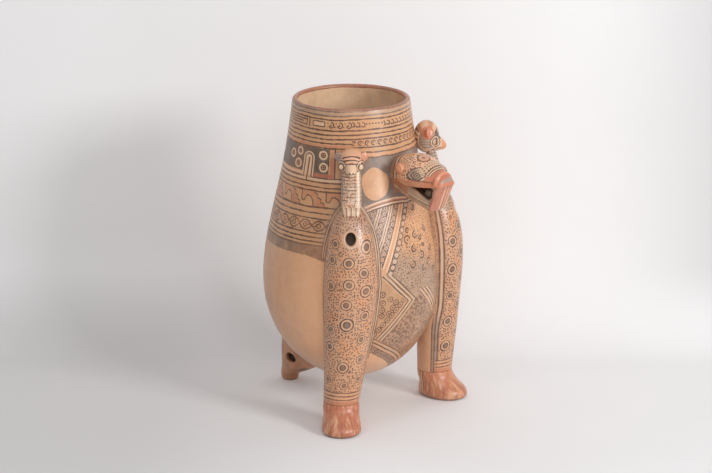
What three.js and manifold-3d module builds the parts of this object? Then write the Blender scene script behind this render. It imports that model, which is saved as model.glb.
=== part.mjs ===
// A hand-built pottery jar in the form of a big cat that stands on three hollow rattle legs.
// Millimetres, +Z up, the cat faces -Y. Its right side is at -X and its left side at +X.
// Each clay piece that the potter formed by itself is its own mesh, and so is each loose pellet.

import * as THREE from "three";
import { mergeVertices } from "three/addons/utils/BufferGeometryUtils.js";
import Module from "manifold-3d";

const wasm = await Module();
wasm.setup();

// Driving dimensions

const JOINT = 0.3; // luting gap between two clay pieces
const FACETS = 40; // sides of the jar's round sections

const JAR = {
  height: 310,
  bottom: 28, // underside of the bowl above the ground
  bellyHeight: 130,
  bellyRadius: 87.4,
  mouthRadius: 57.3,
  wall: 6.5,
  lipWall: 4.8,
  bellyRise: 50, // how far the side stays upright above the belly
  neckRun: 90, // how far below the lip the neck starts to straighten
  neckFlare: 9.4, // how much wider the neck is at that level than at the lip
};

const LEG = {
  wall: 5.5,
  ankleHeight: 27,
  ankleRadius: 84.6, // from the jar's axis to the ankle's centre
  ankleTurn: 53.1, // degrees from the front
  ankleWidth: 34.6,
  ankleDepth: 34.6,
  calfHeight: 61,
  calfWidth: 40.2,
  calfDepth: 38.6,
  kneeHeight: 92,
  kneeWidth: 45.4,
  kneeDepth: 41.6,
  thighHeight: 143,
  thighTurn: 46.8,
  thighStand: 0.8, // how far the thigh's centre lies outside the jar's belly
  thighWidth: 53.4,
  thighDepth: 45,
  haunchHeight: 175,
  haunchWidth: 48.6,
  haunchDepth: 44,
  shoulderHeight: 203,
  shoulderRadius: 82.4,
  shoulderWidth: 38.2,
  shoulderDepth: 37.4,
  topHeight: 224,
  topRadius: 78,
  ventHeight: 195,
  ventWidth: 10,
  ventTall: 12.5,
};

const FOOT = {
  length: 51,
  width: 37.5,
  reach: 9.5, // how far the sole's middle lies in front of the ankle's
  toeThickness: 9,
  turnRight: 45, // degrees that each foot points out from straight ahead
  turnLeft: 15,
  toeGroove: 0.9, // half width of the cuts between the toes
  toeFan: 1.5, // radians round the foot that the toes take up
  grooveRise: 6.5, // how far above the toes those cuts run
};

const REAR = {
  footRadius: 8.8,
  footDistance: 87,
  backDistance: 95.4,
  width: 34,
  underRise: 33, // where its underside meets the bowl
  underDistance: 30,
  topHeight: 90,
  wall: 5.2,
  floor: 15,
  ventHeight: 29,
  ventDistance: 72,
  ventWidth: 15,
  ventTall: 10,
};

const ARM = {
  turn: 46.4,
  width: 19.4,
  thickness: 9.6,
  topRise: 33, // rises and drops are from the top of the leg that the paw rests on
  topStand: 12.4, // from the jar's wall to the strap's middle
  neckRise: 24,
  neckStand: 13,
  elbowRise: 14,
  elbowStand: 14.2,
  pawDrop: 3.5,
  pawProud: 0.4, // how far the paw's middle lies outside the leg's skin
  pawThickness: 10.6,
  fingertipDrop: 8.5,
  fingertipWidth: 14.6,
  knuckleGroove: 0.9,
  fingers: 4,
};

const FIGURE_HEAD = {
  riseRight: 39.7, // from the leg's top to the head's middle: the right one sits lower
  riseLeft: 45,
  tallRight: 26.4,
  tallLeft: 32.4,
  stand: 10.8, // from the jar's wall to the head's middle
  width: 25.4,
  depth: 25.2,
  snoutReach: 19.2, // from the head's middle to the snout's tip
  snoutDrop: 0.29, // from the head's middle to the snout's tip, as a share of the head's height
  snoutBase: 0.284, // radius at the face, as a share of the head's height
  snoutTip: 2.2,
  eyeRadius: 3.8,
  earRadius: 4.1,
};

const CAT_HEAD = {
  crownDrop: 41.6, // this drop and the others are from the jar's lip
  crownDistance: 90,
  noseDrop: 59.5,
  noseDistance: 126,
  tall: 51.8, // from the crown down to the chin
  chinDistance: 113,
  width: 40,
  muzzleWidth: 25.6,
  neckWidth: 27,
  lipDrop: 65.4,
  lipDistance: 124.2,
  mouthBack: 94.5, // distance of the mouth's corner from the jar's axis
  mouthFront: 119,
  mouthDrop: 70.4,
  mouthOpening: 7.6,
  wall: 5.2,
  rootDepth: 6, // how far the head's forms start inside the jar's skin
  eyeDistance: 99.5,
  eyeDrop: 58.6,
  eyeLength: 21,
  eyeTall: 12,
  eyeProud: 0.5, // how far each eye swells out of the skull
  crestDistance: 119.4,
  crestRadius: 2.6, // the raised fold across the snout
  earRadius: 4.8,
  earDrop: 55.5,
  earDistance: 80.5,
};

const PELLET = {
  leg: 11.6, // wider than the vents, so that the pellets stay inside
  rear: 11.8,
  head: 11.4,
  clearance: 1, // from a pellet at rest to the clay round it
  headDistance: 103, // from the jar's axis to the head's pellet, behind the open mouth
};

// Solids

const RIGHT = -1;
const LEFT = 1;
const { degToRad: rad, lerp } = THREE.MathUtils;
const ACROSS = new THREE.Vector3(1, 0, 0);
const ALONG = new THREE.Vector3(0, 1, 0);
const UP = new THREE.Vector3(0, 0, 1);

// A point at a turn from the front, a distance from the jar's axis and a height.
function polar(turn, distance, height) {
  return new THREE.Vector3(
    distance * Math.sin(rad(turn)),
    -distance * Math.cos(rad(turn)),
    height,
  );
}

function radial(turn) {
  return polar(turn, 1, 0);
}

function tangent(turn) {
  return new THREE.Vector3(Math.cos(rad(turn)), Math.sin(rad(turn)), 0);
}

// A closed three.js geometry as a manifold solid that faces out.
function solid(geometry) {
  const bare = (geometry.index ? geometry.toNonIndexed() : geometry).clone();
  bare.deleteAttribute("normal");
  bare.deleteAttribute("uv");
  const merged = mergeVertices(bare, 1e-4);
  const vertices = merged.attributes.position.array;
  const corners = merged.index.array;
  const make = (flip) => {
    const kept = [];
    for (let i = 0; i < corners.length; i += 3) {
      const [a, b, c] = corners.subarray(i, i + 3);
      if (a !== b && b !== c && c !== a) kept.push(a, flip ? c : b, flip ? b : c);
    }
    return new wasm.Manifold(
      new wasm.Mesh({
        numProp: 3,
        vertProperties: new Float32Array(vertices),
        triVerts: new Uint32Array(kept),
      }),
    );
  };
  const made = make(false);
  return made.volume() > 0 ? made : make(true);
}

// A closed skin over rings of points, with a pole in the middle of each end ring.
function loft(rings) {
  const count = rings[0].length;
  const points = rings.flat();
  const middle = (ring) =>
    ring.reduce((sum, p) => sum.add(p), new THREE.Vector3()).divideScalar(ring.length);
  const first = points.push(middle(rings[0])) - 1;
  const last = points.push(middle(rings[rings.length - 1])) - 1;
  const index = [];
  for (let j = 0; j < count; j++) {
    const k = (j + 1) % count;
    index.push(first, k, j);
    const end = (rings.length - 1) * count;
    index.push(last, end + j, end + k);
    for (let i = 0; i < rings.length - 1; i++) {
      const a = i * count;
      const b = a + count;
      index.push(a + j, a + k, b + k, a + j, b + k, b + j);
    }
  }
  const geometry = new THREE.BufferGeometry().setFromPoints(points);
  geometry.setIndex(index);
  return solid(geometry);
}

// A ring of points round a centre, in the plane of two unit vectors. A power of 2 is an ellipse.
function ring(centre, across, along, halfAcross, halfAlong, sides, power = 2) {
  const points = [];
  for (let j = 0; j < sides; j++) {
    const t = (2 * Math.PI * j) / sides;
    const bend = (v) => Math.sign(v) * Math.abs(v) ** (2 / power);
    points.push(
      centre
        .clone()
        .addScaledVector(across, halfAcross * bend(Math.sin(t)))
        .addScaledVector(along, halfAlong * bend(Math.cos(t))),
    );
  }
  return points;
}

// A smooth curve through rows of numbers, each a position followed by values.
function smooth(rows) {
  return (at) => {
    const last = rows.length - 1;
    if (at <= rows[0][0]) return rows[0].slice(1);
    if (at >= rows[last][0]) return rows[last].slice(1);
    const i = rows.findIndex((row) => row[0] > at) - 1;
    const [a, b] = [rows[i], rows[i + 1]];
    const before = rows[Math.max(i - 1, 0)];
    const after = rows[Math.min(i + 2, last)];
    const span = b[0] - a[0];
    const t = (at - a[0]) / span;
    return a.slice(1).map((value, k) => {
      const end = b[k + 1];
      const slope0 = i > 0 ? ((end - before[k + 1]) / (b[0] - before[0])) * span : end - value;
      const slope1 =
        i + 1 < last ? ((after[k + 1] - value) / (after[0] - a[0])) * span : end - value;
      const [t2, t3] = [t * t, t * t * t];
      return (
        (2 * t3 - 3 * t2 + 1) * value +
        (t3 - 2 * t2 + t) * slope0 +
        (3 * t2 - 2 * t3) * end +
        (t3 - t2) * slope1
      );
    });
  };
}

function ellipsoid(centre, across, along, radii, sides, levels, grow = 0) {
  const rings = [];
  for (let i = 0; i < levels; i++) {
    const tilt = (Math.PI * (i + 0.5)) / levels;
    const [width, depth, tall] = radii.map((r) => r + grow);
    const middle = centre.clone();
    middle.z += -tall * Math.cos(tilt);
    rings.push(
      ring(middle, across, along, width * Math.sin(tilt), depth * Math.sin(tilt), sides),
    );
  }
  return loft(rings);
}

function ball(centre, radius, sides, levels, grow = 0) {
  return ellipsoid(centre, ACROSS, ALONG, [radius, radius, radius], sides, levels, grow);
}

// The jar

const jarCurve = new THREE.CubicBezierCurve(
  new THREE.Vector2(JAR.bellyRadius, JAR.bellyHeight),
  new THREE.Vector2(JAR.bellyRadius, JAR.bellyHeight + JAR.bellyRise),
  new THREE.Vector2(JAR.mouthRadius + JAR.neckFlare, JAR.height - JAR.neckRun),
  new THREE.Vector2(JAR.mouthRadius, JAR.height),
);

// The outside of the jar, from the bowl's middle up to the lip.
function jarOutline(bowlSteps, neckSteps) {
  const points = [];
  const drop = JAR.bellyHeight - JAR.bottom;
  for (let i = 0; i < bowlSteps; i++) {
    const t = (Math.PI / 2) * (i / bowlSteps);
    points.push(
      new THREE.Vector2(JAR.bellyRadius * Math.sin(t), JAR.bellyHeight - drop * Math.cos(t)),
    );
  }
  return points.concat(jarCurve.getPoints(neckSteps));
}

// The jar's outside radius at a height.
function jarRadius(height) {
  if (height <= JAR.bellyHeight) {
    const share = (JAR.bellyHeight - height) / (JAR.bellyHeight - JAR.bottom);
    return JAR.bellyRadius * Math.sqrt(Math.max(0, 1 - share * share));
  }
  let [low, high] = [0, 1];
  for (let i = 0; i < 30; i++) {
    const t = (low + high) / 2;
    if (jarCurve.getPoint(t).y < height) low = t;
    else high = t;
  }
  return jarCurve.getPoint(low).x;
}

const BOWL_STEPS = 10;
const NECK_STEPS = 8;

function revolve(profile) {
  return solid(new THREE.LatheGeometry(profile, FACETS).rotateX(Math.PI / 2));
}

// Each point of an outline moved square to it, out or in.
function offsetOutline(points, distance) {
  return points.map((p, i) => {
    const before = points[Math.max(i - 1, 0)];
    const after = points[Math.min(i + 1, points.length - 1)];
    const along = after.clone().sub(before).normalize();
    const moved = new THREE.Vector2(p.x + along.y * distance, p.y - along.x * distance);
    if (i === 0) moved.set(0, p.y - distance);
    return moved;
  });
}

function jarBody() {
  const outline = jarOutline(BOWL_STEPS, NECK_STEPS);
  const neckStart = BOWL_STEPS;
  const inside = outline.map((p, i) => {
    const share = Math.max(0, (i - neckStart) / NECK_STEPS);
    const wall = lerp(JAR.wall, JAR.lipWall, share);
    return offsetOutline(outline, -wall)[i];
  });
  const lip = outline[outline.length - 1];
  const lipRound = JAR.lipWall / 2;
  const profile = outline.slice(0, -1);
  for (let i = 0; i <= 4; i++) {
    const t = (Math.PI * i) / 4;
    profile.push(
      new THREE.Vector2(
        lip.x - lipRound + lipRound * Math.cos(t),
        lip.y - lipRound + lipRound * Math.sin(t),
      ),
    );
  }
  return revolve(profile.concat(inside.slice(0, -1).reverse()));
}

// The whole room that the jar takes up, inside included, grown by the luting gap.
function jarRoom() {
  const outline = offsetOutline(jarOutline(BOWL_STEPS, NECK_STEPS), JOINT);
  return revolve(outline.concat(new THREE.Vector2(0, JAR.height)));
}

// The front legs

const LEG_SIDES = 22;

// How far a height lies from the ankle to the thigh, as a share.
function legShare(height) {
  return (height - LEG.ankleHeight) / (LEG.thighHeight - LEG.ankleHeight);
}

const thighRadius = JAR.bellyRadius + LEG.thighStand;
const lowerLegRows = [
  [LEG.ankleHeight, LEG.ankleWidth, LEG.ankleDepth],
  [LEG.calfHeight, LEG.calfWidth, LEG.calfDepth],
  [LEG.kneeHeight, LEG.kneeWidth, LEG.kneeDepth],
  [LEG.thighHeight, LEG.thighWidth, LEG.thighDepth],
].map(([height, width, depth]) => [
  height,
  lerp(LEG.ankleRadius, thighRadius, legShare(height)),
  lerp(LEG.ankleTurn, LEG.thighTurn, legShare(height) ** 0.8),
  width / 2,
  depth / 2,
]);
const upperLegRows = [
  [LEG.haunchHeight, thighRadius - 1.2, LEG.haunchWidth, LEG.haunchDepth],
  [LEG.shoulderHeight, LEG.shoulderRadius, LEG.shoulderWidth, LEG.shoulderDepth],
  [
    lerp(LEG.shoulderHeight, LEG.topHeight, 0.52),
    lerp(LEG.shoulderRadius, LEG.topRadius, 0.52),
    LEG.shoulderWidth * 0.74,
    LEG.shoulderDepth * 0.8,
  ],
  [LEG.topHeight, LEG.topRadius, LEG.shoulderWidth * 0.25, LEG.shoulderDepth * 0.3],
].map(([height, radius, width, depth]) => [height, radius, LEG.thighTurn, width / 2, depth / 2]);

// Height, distance from the jar's axis, turn from the front, half width and half depth.
const legRows = [...lowerLegRows, ...upperLegRows];
const legAt = smooth(legRows);

// The leg's tube, grown or shrunk by an amount, from one height to another.
function legTube(side, from, to, grow, steps) {
  const rings = [];
  for (let i = 0; i <= steps; i++) {
    const height = lerp(from, to, i / steps);
    const [distance, turn, halfWidth, halfDepth] = legAt(height);
    rings.push(
      ring(
        polar(side * turn, distance, height),
        tangent(side * turn),
        radial(side * turn),
        halfWidth + grow,
        halfDepth + grow,
        LEG_SIDES,
      ),
    );
  }
  return loft(rings);
}

function legVent(side) {
  const [distance, turn] = legAt(LEG.ventHeight);
  const rings = [distance, distance + LEG.shoulderDepth].map((reach) =>
    ring(
      polar(side * turn, reach, LEG.ventHeight),
      tangent(side * turn),
      UP,
      LEG.ventWidth / 2,
      LEG.ventTall / 2,
      16,
    ),
  );
  return loft(rings);
}

const LEG_FLOOR = LEG.ankleHeight + JOINT;

function frontLeg(side, room) {
  const outer = legTube(side, LEG_FLOOR, LEG.topHeight, 0, 12);
  const inner = legTube(
    side,
    LEG_FLOOR - 2 * JOINT,
    LEG.topHeight - 2 * LEG.wall,
    -LEG.wall,
    9,
  );
  return outer.subtract(inner).subtract(room).subtract(legVent(side));
}

// Height, how far ahead of the ankle, half length, half width and how much wider the toes are.
const footAt = smooth([
  [0, FOOT.reach, FOOT.length / 2 - 2.5, FOOT.width / 2 - 2, 0.14],
  [2.5, FOOT.reach, FOOT.length / 2, FOOT.width / 2, 0.14],
  [FOOT.toeThickness, FOOT.reach - 0.8, FOOT.length / 2 - 1, FOOT.width / 2 - 0.4, 0.12],
  [
    lerp(FOOT.toeThickness, LEG.ankleHeight, 0.34),
    FOOT.reach * 0.55,
    FOOT.length / 2 - 5.2,
    FOOT.width / 2 - 1.4,
    0.06,
  ],
  [
    lerp(FOOT.toeThickness, LEG.ankleHeight, 0.67),
    FOOT.reach * 0.16,
    LEG.ankleDepth / 2 + 0.8,
    LEG.ankleWidth / 2 + 0.5,
    0.02,
  ],
  [LEG.ankleHeight, 0, LEG.ankleDepth / 2, LEG.ankleWidth / 2, 0],
]);

// A point on the foot's skin at a height and a turn round the foot from its toes.
function footSkin(side, height, turn) {
  const heading = side * (side === RIGHT ? FOOT.turnRight : FOOT.turnLeft);
  const [ahead, halfLength, halfWidth, spread] = footAt(height);
  const forward = Math.cos(turn);
  const sideways = Math.sin(turn) * (1 + spread * forward);
  const skin = polar(side * LEG.ankleTurn, LEG.ankleRadius, height);
  return skin
    .addScaledVector(radial(heading), ahead + halfLength * forward)
    .addScaledVector(tangent(heading), halfWidth * sideways);
}

function frontFoot(side) {
  const levels = [0, 0.04, 0.13, 0.3, 0.43, 0.56, 0.69, 0.82, 1];
  const sides = 24;
  const rings = levels.map((level) => {
    const points = [];
    for (let j = 0; j < sides; j++) {
      points.push(footSkin(side, level * LEG.ankleHeight, (2 * Math.PI * j) / sides));
    }
    return points;
  });
  return toeGrooves(loft(rings), side);
}

// Shallow cuts along the skin that part the toes, from the sole's edge up over the instep.
function toeGrooves(foot, side) {
  const heading = side * (side === RIGHT ? FOOT.turnRight : FOOT.turnLeft);
  const toes = 5;
  let cut = foot;
  for (let i = 1; i < toes; i++) {
    const turn = (i / toes - 0.5) * FOOT.toeFan;
    const top = FOOT.toeThickness + FOOT.grooveRise * Math.cos(turn);
    const rings = [0.12, 0.4, 0.7, 1].map((share) => {
      const skin = footSkin(side, top * share, turn);
      const size = FOOT.toeGroove * (1.1 - 0.4 * share);
      return ring(skin, tangent(heading), radial(heading), size, size * 1.3, 8);
    });
    cut = cut.subtract(loft(rings));
  }
  return cut;
}

// The rear leg

// Height, nearest and farthest distance from the jar's axis, and half width.
const rearAt = smooth([
  [
    0,
    REAR.footDistance - REAR.footRadius + 1.2,
    REAR.footDistance + REAR.footRadius - 1.2,
    REAR.footRadius - 1,
  ],
  [
    2,
    REAR.footDistance - REAR.footRadius,
    REAR.footDistance + REAR.footRadius,
    REAR.footRadius,
  ],
  [7, REAR.footDistance - REAR.footRadius - 1.5, REAR.backDistance + 0.8, REAR.footRadius + 0.6],
  [
    lerp(5, REAR.underRise, 0.4),
    lerp(REAR.footDistance - REAR.footRadius, REAR.underDistance, 0.42),
    REAR.backDistance,
    REAR.width * 0.36,
  ],
  [REAR.underRise, REAR.underDistance, REAR.backDistance, REAR.width * 0.47],
  [
    lerp(REAR.underRise, REAR.topHeight, 0.386),
    REAR.underDistance,
    REAR.backDistance - 2.5,
    REAR.width / 2,
  ],
  [
    lerp(REAR.underRise, REAR.topHeight, 0.772),
    REAR.underDistance + 6,
    REAR.backDistance - 10,
    REAR.width * 0.44,
  ],
  [REAR.topHeight, REAR.underDistance + 12, REAR.backDistance - 17, REAR.width * 0.25],
]);

function rearTube(from, to, grow, steps) {
  const rings = [];
  for (let i = 0; i <= steps; i++) {
    const height = lerp(from, to, (i / steps) ** 1.15);
    const [near, far, halfWidth] = rearAt(height);
    const middle = new THREE.Vector3(0, (near + far) / 2, height);
    rings.push(ring(middle, ACROSS, ALONG, halfWidth + grow, (far - near) / 2 + grow, 20));
  }
  return loft(rings);
}

function rearLeg(room) {
  const outer = rearTube(0, REAR.topHeight, 0, 10);
  const chamber = rearTube(REAR.floor + 3, REAR.topHeight - 6, -REAR.wall, 8);
  const well = ball(rearPelletPlace(), PELLET.rear / 2 + PELLET.clearance, 16, 8);
  const vent = loft(
    [-REAR.width, 0].map((x) =>
      ring(
        new THREE.Vector3(x, REAR.ventDistance, REAR.ventHeight),
        ALONG,
        UP,
        REAR.ventWidth / 2,
        REAR.ventTall / 2,
        16,
      ),
    ),
  );
  return outer.subtract(chamber.add(well)).subtract(room).subtract(vent);
}

function rearPelletPlace() {
  const height = REAR.floor + PELLET.rear / 2 + PELLET.clearance;
  const [, far] = rearAt(height);
  return new THREE.Vector3(0, far - REAR.wall - PELLET.rear / 2 - PELLET.clearance, height);
}

// The arms: straps that stand off the wall, each with a small figure's head above and a paw below

function figureHeadPlace(side) {
  const rise = side === RIGHT ? FIGURE_HEAD.riseRight : FIGURE_HEAD.riseLeft;
  const height = LEG.topHeight + rise;
  return polar(side * ARM.turn, jarRadius(height) + FIGURE_HEAD.stand, height);
}

// A figure's head, grown by an amount: a skull, a snout that points down a little, eyes and ears.
function figureForm(side, grow) {
  const tall = side === RIGHT ? FIGURE_HEAD.tallRight : FIGURE_HEAD.tallLeft;
  const middle = figureHeadPlace(side);
  const out = radial(side * ARM.turn);
  const across = tangent(side * ARM.turn);
  const at = (aside, ahead, above) =>
    middle
      .clone()
      .addScaledVector(across, aside * FIGURE_HEAD.width)
      .addScaledVector(out, ahead * FIGURE_HEAD.depth)
      .addScaledVector(UP, above * tall);
  const skull = [FIGURE_HEAD.width / 2, FIGURE_HEAD.depth / 2, tall / 2];
  const snout = figureSnout(middle, across, out, tall, grow);
  let head = ellipsoid(middle, across, out, skull, 16, 8, grow).add(snout);
  for (const way of [-1, 1]) {
    head = head
      .add(ball(at(way * 0.31, 0.28, -0.1), FIGURE_HEAD.eyeRadius, 10, 6, grow))
      .add(ball(at(way * 0.46, 0, 0.2), FIGURE_HEAD.earRadius, 10, 6, grow));
  }
  return head;
}

function figureSnout(middle, across, out, tall, grow) {
  const { snoutReach, snoutDrop, snoutBase, snoutTip } = FIGURE_HEAD;
  // Share of the reach, share of the drop, and share of the way from the base's radius to the tip's.
  const stations = [
    [0.3, 0.5, 0],
    [0.58, 0.66, 0.04],
    [0.8, 0.84, 0.52],
    [1, 1, 1],
  ];
  const rings = stations.map(([ahead, down, thin]) => {
    const radius = lerp(snoutBase * tall, snoutTip, thin) + grow;
    const place = middle
      .clone()
      .addScaledVector(out, snoutReach * ahead + grow * (2 * ahead - 1))
      .addScaledVector(UP, -snoutDrop * tall * down);
    return ring(place, across, UP, radius * 0.88, radius, 16);
  });
  return loft(rings);
}

function figureHead(side, room) {
  return figureForm(side, 0).subtract(room);
}

// The leg's skin at a height, as a distance from the jar's axis.
function legSkin(height) {
  const [distance, , , halfDepth] = legAt(height);
  return distance + halfDepth;
}

const pawHeight = LEG.topHeight - ARM.pawDrop;
const fingertipHeight = LEG.topHeight - ARM.fingertipDrop;

// Distance from the jar's axis, height, width and thickness, down the strap to the fingertips.
function armStations() {
  const { width, thickness } = ARM;
  const off = (height, stand) => jarRadius(height) + stand;
  const topHeight = LEG.topHeight + ARM.topRise;
  const neckHeight = LEG.topHeight + ARM.neckRise;
  const elbowHeight = LEG.topHeight + ARM.elbowRise;
  const pawDistance = legSkin(pawHeight) + ARM.pawProud;
  return [
    [off(topHeight, ARM.topStand), topHeight, width * 0.9, thickness],
    [off(neckHeight, ARM.neckStand), neckHeight, width * 0.96, thickness * 1.1],
    [off(elbowHeight, ARM.elbowStand), elbowHeight, width, thickness],
    [
      lerp(off(elbowHeight, ARM.elbowStand), pawDistance, 0.46),
      lerp(elbowHeight, pawHeight, 0.5),
      width,
      thickness,
    ],
    [pawDistance, pawHeight, width * 0.97, ARM.pawThickness],
    [
      legSkin(fingertipHeight + 2.5) + 1,
      fingertipHeight + 2.5,
      ARM.fingertipWidth * 1.08,
      ARM.pawThickness * 0.74,
    ],
    [
      legSkin(fingertipHeight) + 0.4,
      fingertipHeight,
      ARM.fingertipWidth * 0.86,
      ARM.pawThickness * 0.44,
    ],
  ];
}

// The strap's cross-sections from the head down to the fingertips.
function armSections(side) {
  const turn = side * ARM.turn;
  const stations = armStations();
  return stations.map(([distance, height, width, thickness], i) => {
    const before = stations[Math.max(i - 1, 0)];
    const after = stations[Math.min(i + 1, stations.length - 1)];
    const run = polar(turn, after[0], after[1]).sub(polar(turn, before[0], before[1]));
    const out = new THREE.Vector3().crossVectors(run.normalize(), tangent(turn)).normalize();
    return { middle: polar(turn, distance, height), run, out, width, thickness };
  });
}

function arm(side, room) {
  const across = tangent(side * ARM.turn);
  const rings = armSections(side).map(({ middle, out, width, thickness }) =>
    ring(middle, across, out, width / 2, thickness / 2, 16, 2.5),
  );
  const shoulder = legTube(side, LEG_FLOOR, LEG.topHeight + JOINT, JOINT, 12);
  return knuckles(loft(rings), side)
    .subtract(figureForm(side, JOINT))
    .subtract(shoulder)
    .subtract(room);
}

// Shallow cuts along the skin of the paw that part the fingers, and run out past their tips.
function knuckles(paw, side) {
  const across = tangent(side * ARM.turn);
  const sections = armSections(side).slice(-3);
  const tip = sections[sections.length - 1];
  sections.push({ ...tip, middle: tip.middle.clone().add(tip.run) });
  let cut = paw;
  for (let i = 1; i < ARM.fingers; i++) {
    const share = i / ARM.fingers - 0.5;
    const rings = sections.map(({ middle, out, width, thickness }) => {
      const skin = middle
        .clone()
        .addScaledVector(out, thickness / 2)
        .addScaledVector(across, share * width);
      return ring(skin, across, out, ARM.knuckleGroove * 0.7, ARM.knuckleGroove, 6);
    });
    cut = cut.subtract(loft(rings));
  }
  return cut;
}

// The cat's head: a skull and snout above, a jaw and throat below, hollow between them

const HEAD_SIDES = 22;

const crownHeight = JAR.height - CAT_HEAD.crownDrop;
const chinHeight = crownHeight - CAT_HEAD.tall;
const noseHeight = JAR.height - CAT_HEAD.noseDrop;
const lipHeight = JAR.height - CAT_HEAD.lipDrop;
const mouthHeight = JAR.height - CAT_HEAD.mouthDrop;
const eyeHeight = JAR.height - CAT_HEAD.eyeDrop;
const earHeight = JAR.height - CAT_HEAD.earDrop;

const headRoot = jarRadius(mouthHeight) - CAT_HEAD.rootDepth;

// A distance as a share of the way from the head's root to its nose.
function reach(share) {
  return lerp(headRoot, CAT_HEAD.noseDistance, share);
}

// A height as a share of the way from the chin to the crown.
function level(share) {
  return lerp(chinHeight, crownHeight, share);
}

// Distance from the jar's axis, lowest and highest level, and half width.
const skullAt = smooth([
  [headRoot, level(0.12), level(0.86), CAT_HEAD.neckWidth / 2],
  [reach(0.15), level(0.08), level(0.925), CAT_HEAD.neckWidth * 0.56],
  [reach(0.28), level(0.06), level(0.972), CAT_HEAD.width * 0.455],
  [CAT_HEAD.crownDistance, level(0.04), crownHeight, CAT_HEAD.width / 2],
  [reach(0.59), level(0.04), level(0.962), CAT_HEAD.width * 0.482],
  [reach(0.72), level(0.04), level(0.893), CAT_HEAD.width * 0.43],
  [reach(0.83), level(0.04), level(0.79), CAT_HEAD.muzzleWidth * 0.57],
  [reach(0.92), level(0.1), level(0.71), CAT_HEAD.muzzleWidth * 0.508],
  [CAT_HEAD.noseDistance, level(0.28), noseHeight, CAT_HEAD.muzzleWidth * 0.4],
]);

function headLoft(at, from, to, steps, grow, power) {
  const rings = [];
  for (let i = 0; i <= steps; i++) {
    const distance = lerp(from, to, i / steps);
    const [low, high, halfWidth] = at(distance);
    rings.push(
      ring(
        new THREE.Vector3(0, -distance, (low + high) / 2),
        ACROSS,
        UP,
        halfWidth + grow,
        (high - low) / 2 + grow,
        HEAD_SIDES,
        power,
      ),
    );
  }
  return loft(rings);
}

// A flat shape drawn in distance and height, as thick as a width, with its middle on the cat's own plane.
function sidePlate(points, width, bevel = 0) {
  const shape = new THREE.Shape(points.map(([d, h]) => new THREE.Vector2(d, h)));
  const geometry = new THREE.ExtrudeGeometry(shape, {
    depth: width - 2 * bevel,
    bevelEnabled: bevel > 0,
    bevelSize: bevel,
    bevelOffset: -bevel,
    bevelThickness: bevel,
    bevelSegments: 3,
  });
  geometry.translate(0, 0, -width / 2 + bevel);
  geometry.applyMatrix4(new THREE.Matrix4().set(0, 0, 1, 0, -1, 0, 0, 0, 0, 1, 0, 0, 0, 0, 0, 1));
  return solid(geometry);
}

// The line that parts the skull from the jaw, from the neck to the lips, moved up or down.
function partingLine(shift) {
  return [
    [0, mouthHeight + 5 + shift],
    [CAT_HEAD.earDistance - 3, mouthHeight + 3.5 + shift],
    [CAT_HEAD.mouthBack, mouthHeight + shift],
    [CAT_HEAD.mouthFront, lipHeight - 2.4 + shift],
    [CAT_HEAD.noseDistance + CAT_HEAD.width / 2, lipHeight + shift],
  ];
}

function aboveParting() {
  const line = partingLine(JOINT / 2);
  const ceiling = JAR.height + CAT_HEAD.width;
  return sidePlate(
    [...line, [line[line.length - 1][0], ceiling], [0, ceiling]],
    4 * CAT_HEAD.width,
  );
}

function belowParting() {
  const line = partingLine(-JOINT / 2);
  return sidePlate([[0, 0], [line[line.length - 1][0], 0], ...line.reverse()], 4 * CAT_HEAD.width);
}

// The open mouth, cut right through from side to side.
function mouthCut() {
  const { mouthBack, mouthFront, mouthOpening } = CAT_HEAD;
  return sidePlate(
    [
      [mouthBack, mouthHeight + 0.6],
      [mouthBack + 9, mouthHeight - mouthOpening * 0.42],
      [mouthFront - 4.6, mouthHeight - mouthOpening * 0.8],
      [mouthFront - 1.4, mouthHeight - mouthOpening * 0.4],
      [mouthFront, mouthHeight + mouthOpening * 0.1],
      [mouthFront - 2.4, mouthHeight + mouthOpening * 0.26],
      [mouthBack + 8, mouthHeight + mouthOpening * 0.2],
    ],
    3 * CAT_HEAD.width,
  );
}

// The hollow of the head, long enough for its pellet to roll.
const chamberBack = reach(0.216);
const chamberFront = reach(0.765);
const chamberAt = smooth([
  [chamberBack, level(0.268), level(0.675), CAT_HEAD.neckWidth / 2 - CAT_HEAD.wall],
  [reach(0.342), level(0.218), level(0.754), CAT_HEAD.width * 0.41 - CAT_HEAD.wall],
  [reach(0.5), level(0.179), level(0.794), CAT_HEAD.width * 0.425 - CAT_HEAD.wall],
  [PELLET.headDistance, level(0.147), level(0.734), CAT_HEAD.width * 0.375 - CAT_HEAD.wall],
  [chamberFront, level(0.218), level(0.595), CAT_HEAD.muzzleWidth / 2 - CAT_HEAD.wall],
]);

function headChamber() {
  return headLoft(chamberAt, chamberBack, chamberFront, 6, 0, 2.3);
}

// A low swelling on the side of the skull.
function catEye(side) {
  const { eyeDistance, eyeLength, eyeTall, eyeProud } = CAT_HEAD;
  const [low, high, halfWidth] = skullAt(eyeDistance);
  const up = (eyeHeight - (low + high) / 2) / ((high - low) / 2);
  const aside = halfWidth * (1 - Math.abs(up) ** 2.3) ** (1 / 2.3);
  const depth = eyeProud * 3;
  const place = new THREE.Vector3(side * (aside + eyeProud - depth), -eyeDistance, eyeHeight);
  return ellipsoid(place, ACROSS, ALONG, [depth, eyeLength / 2, eyeTall / 2], 16, 7);
}

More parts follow.
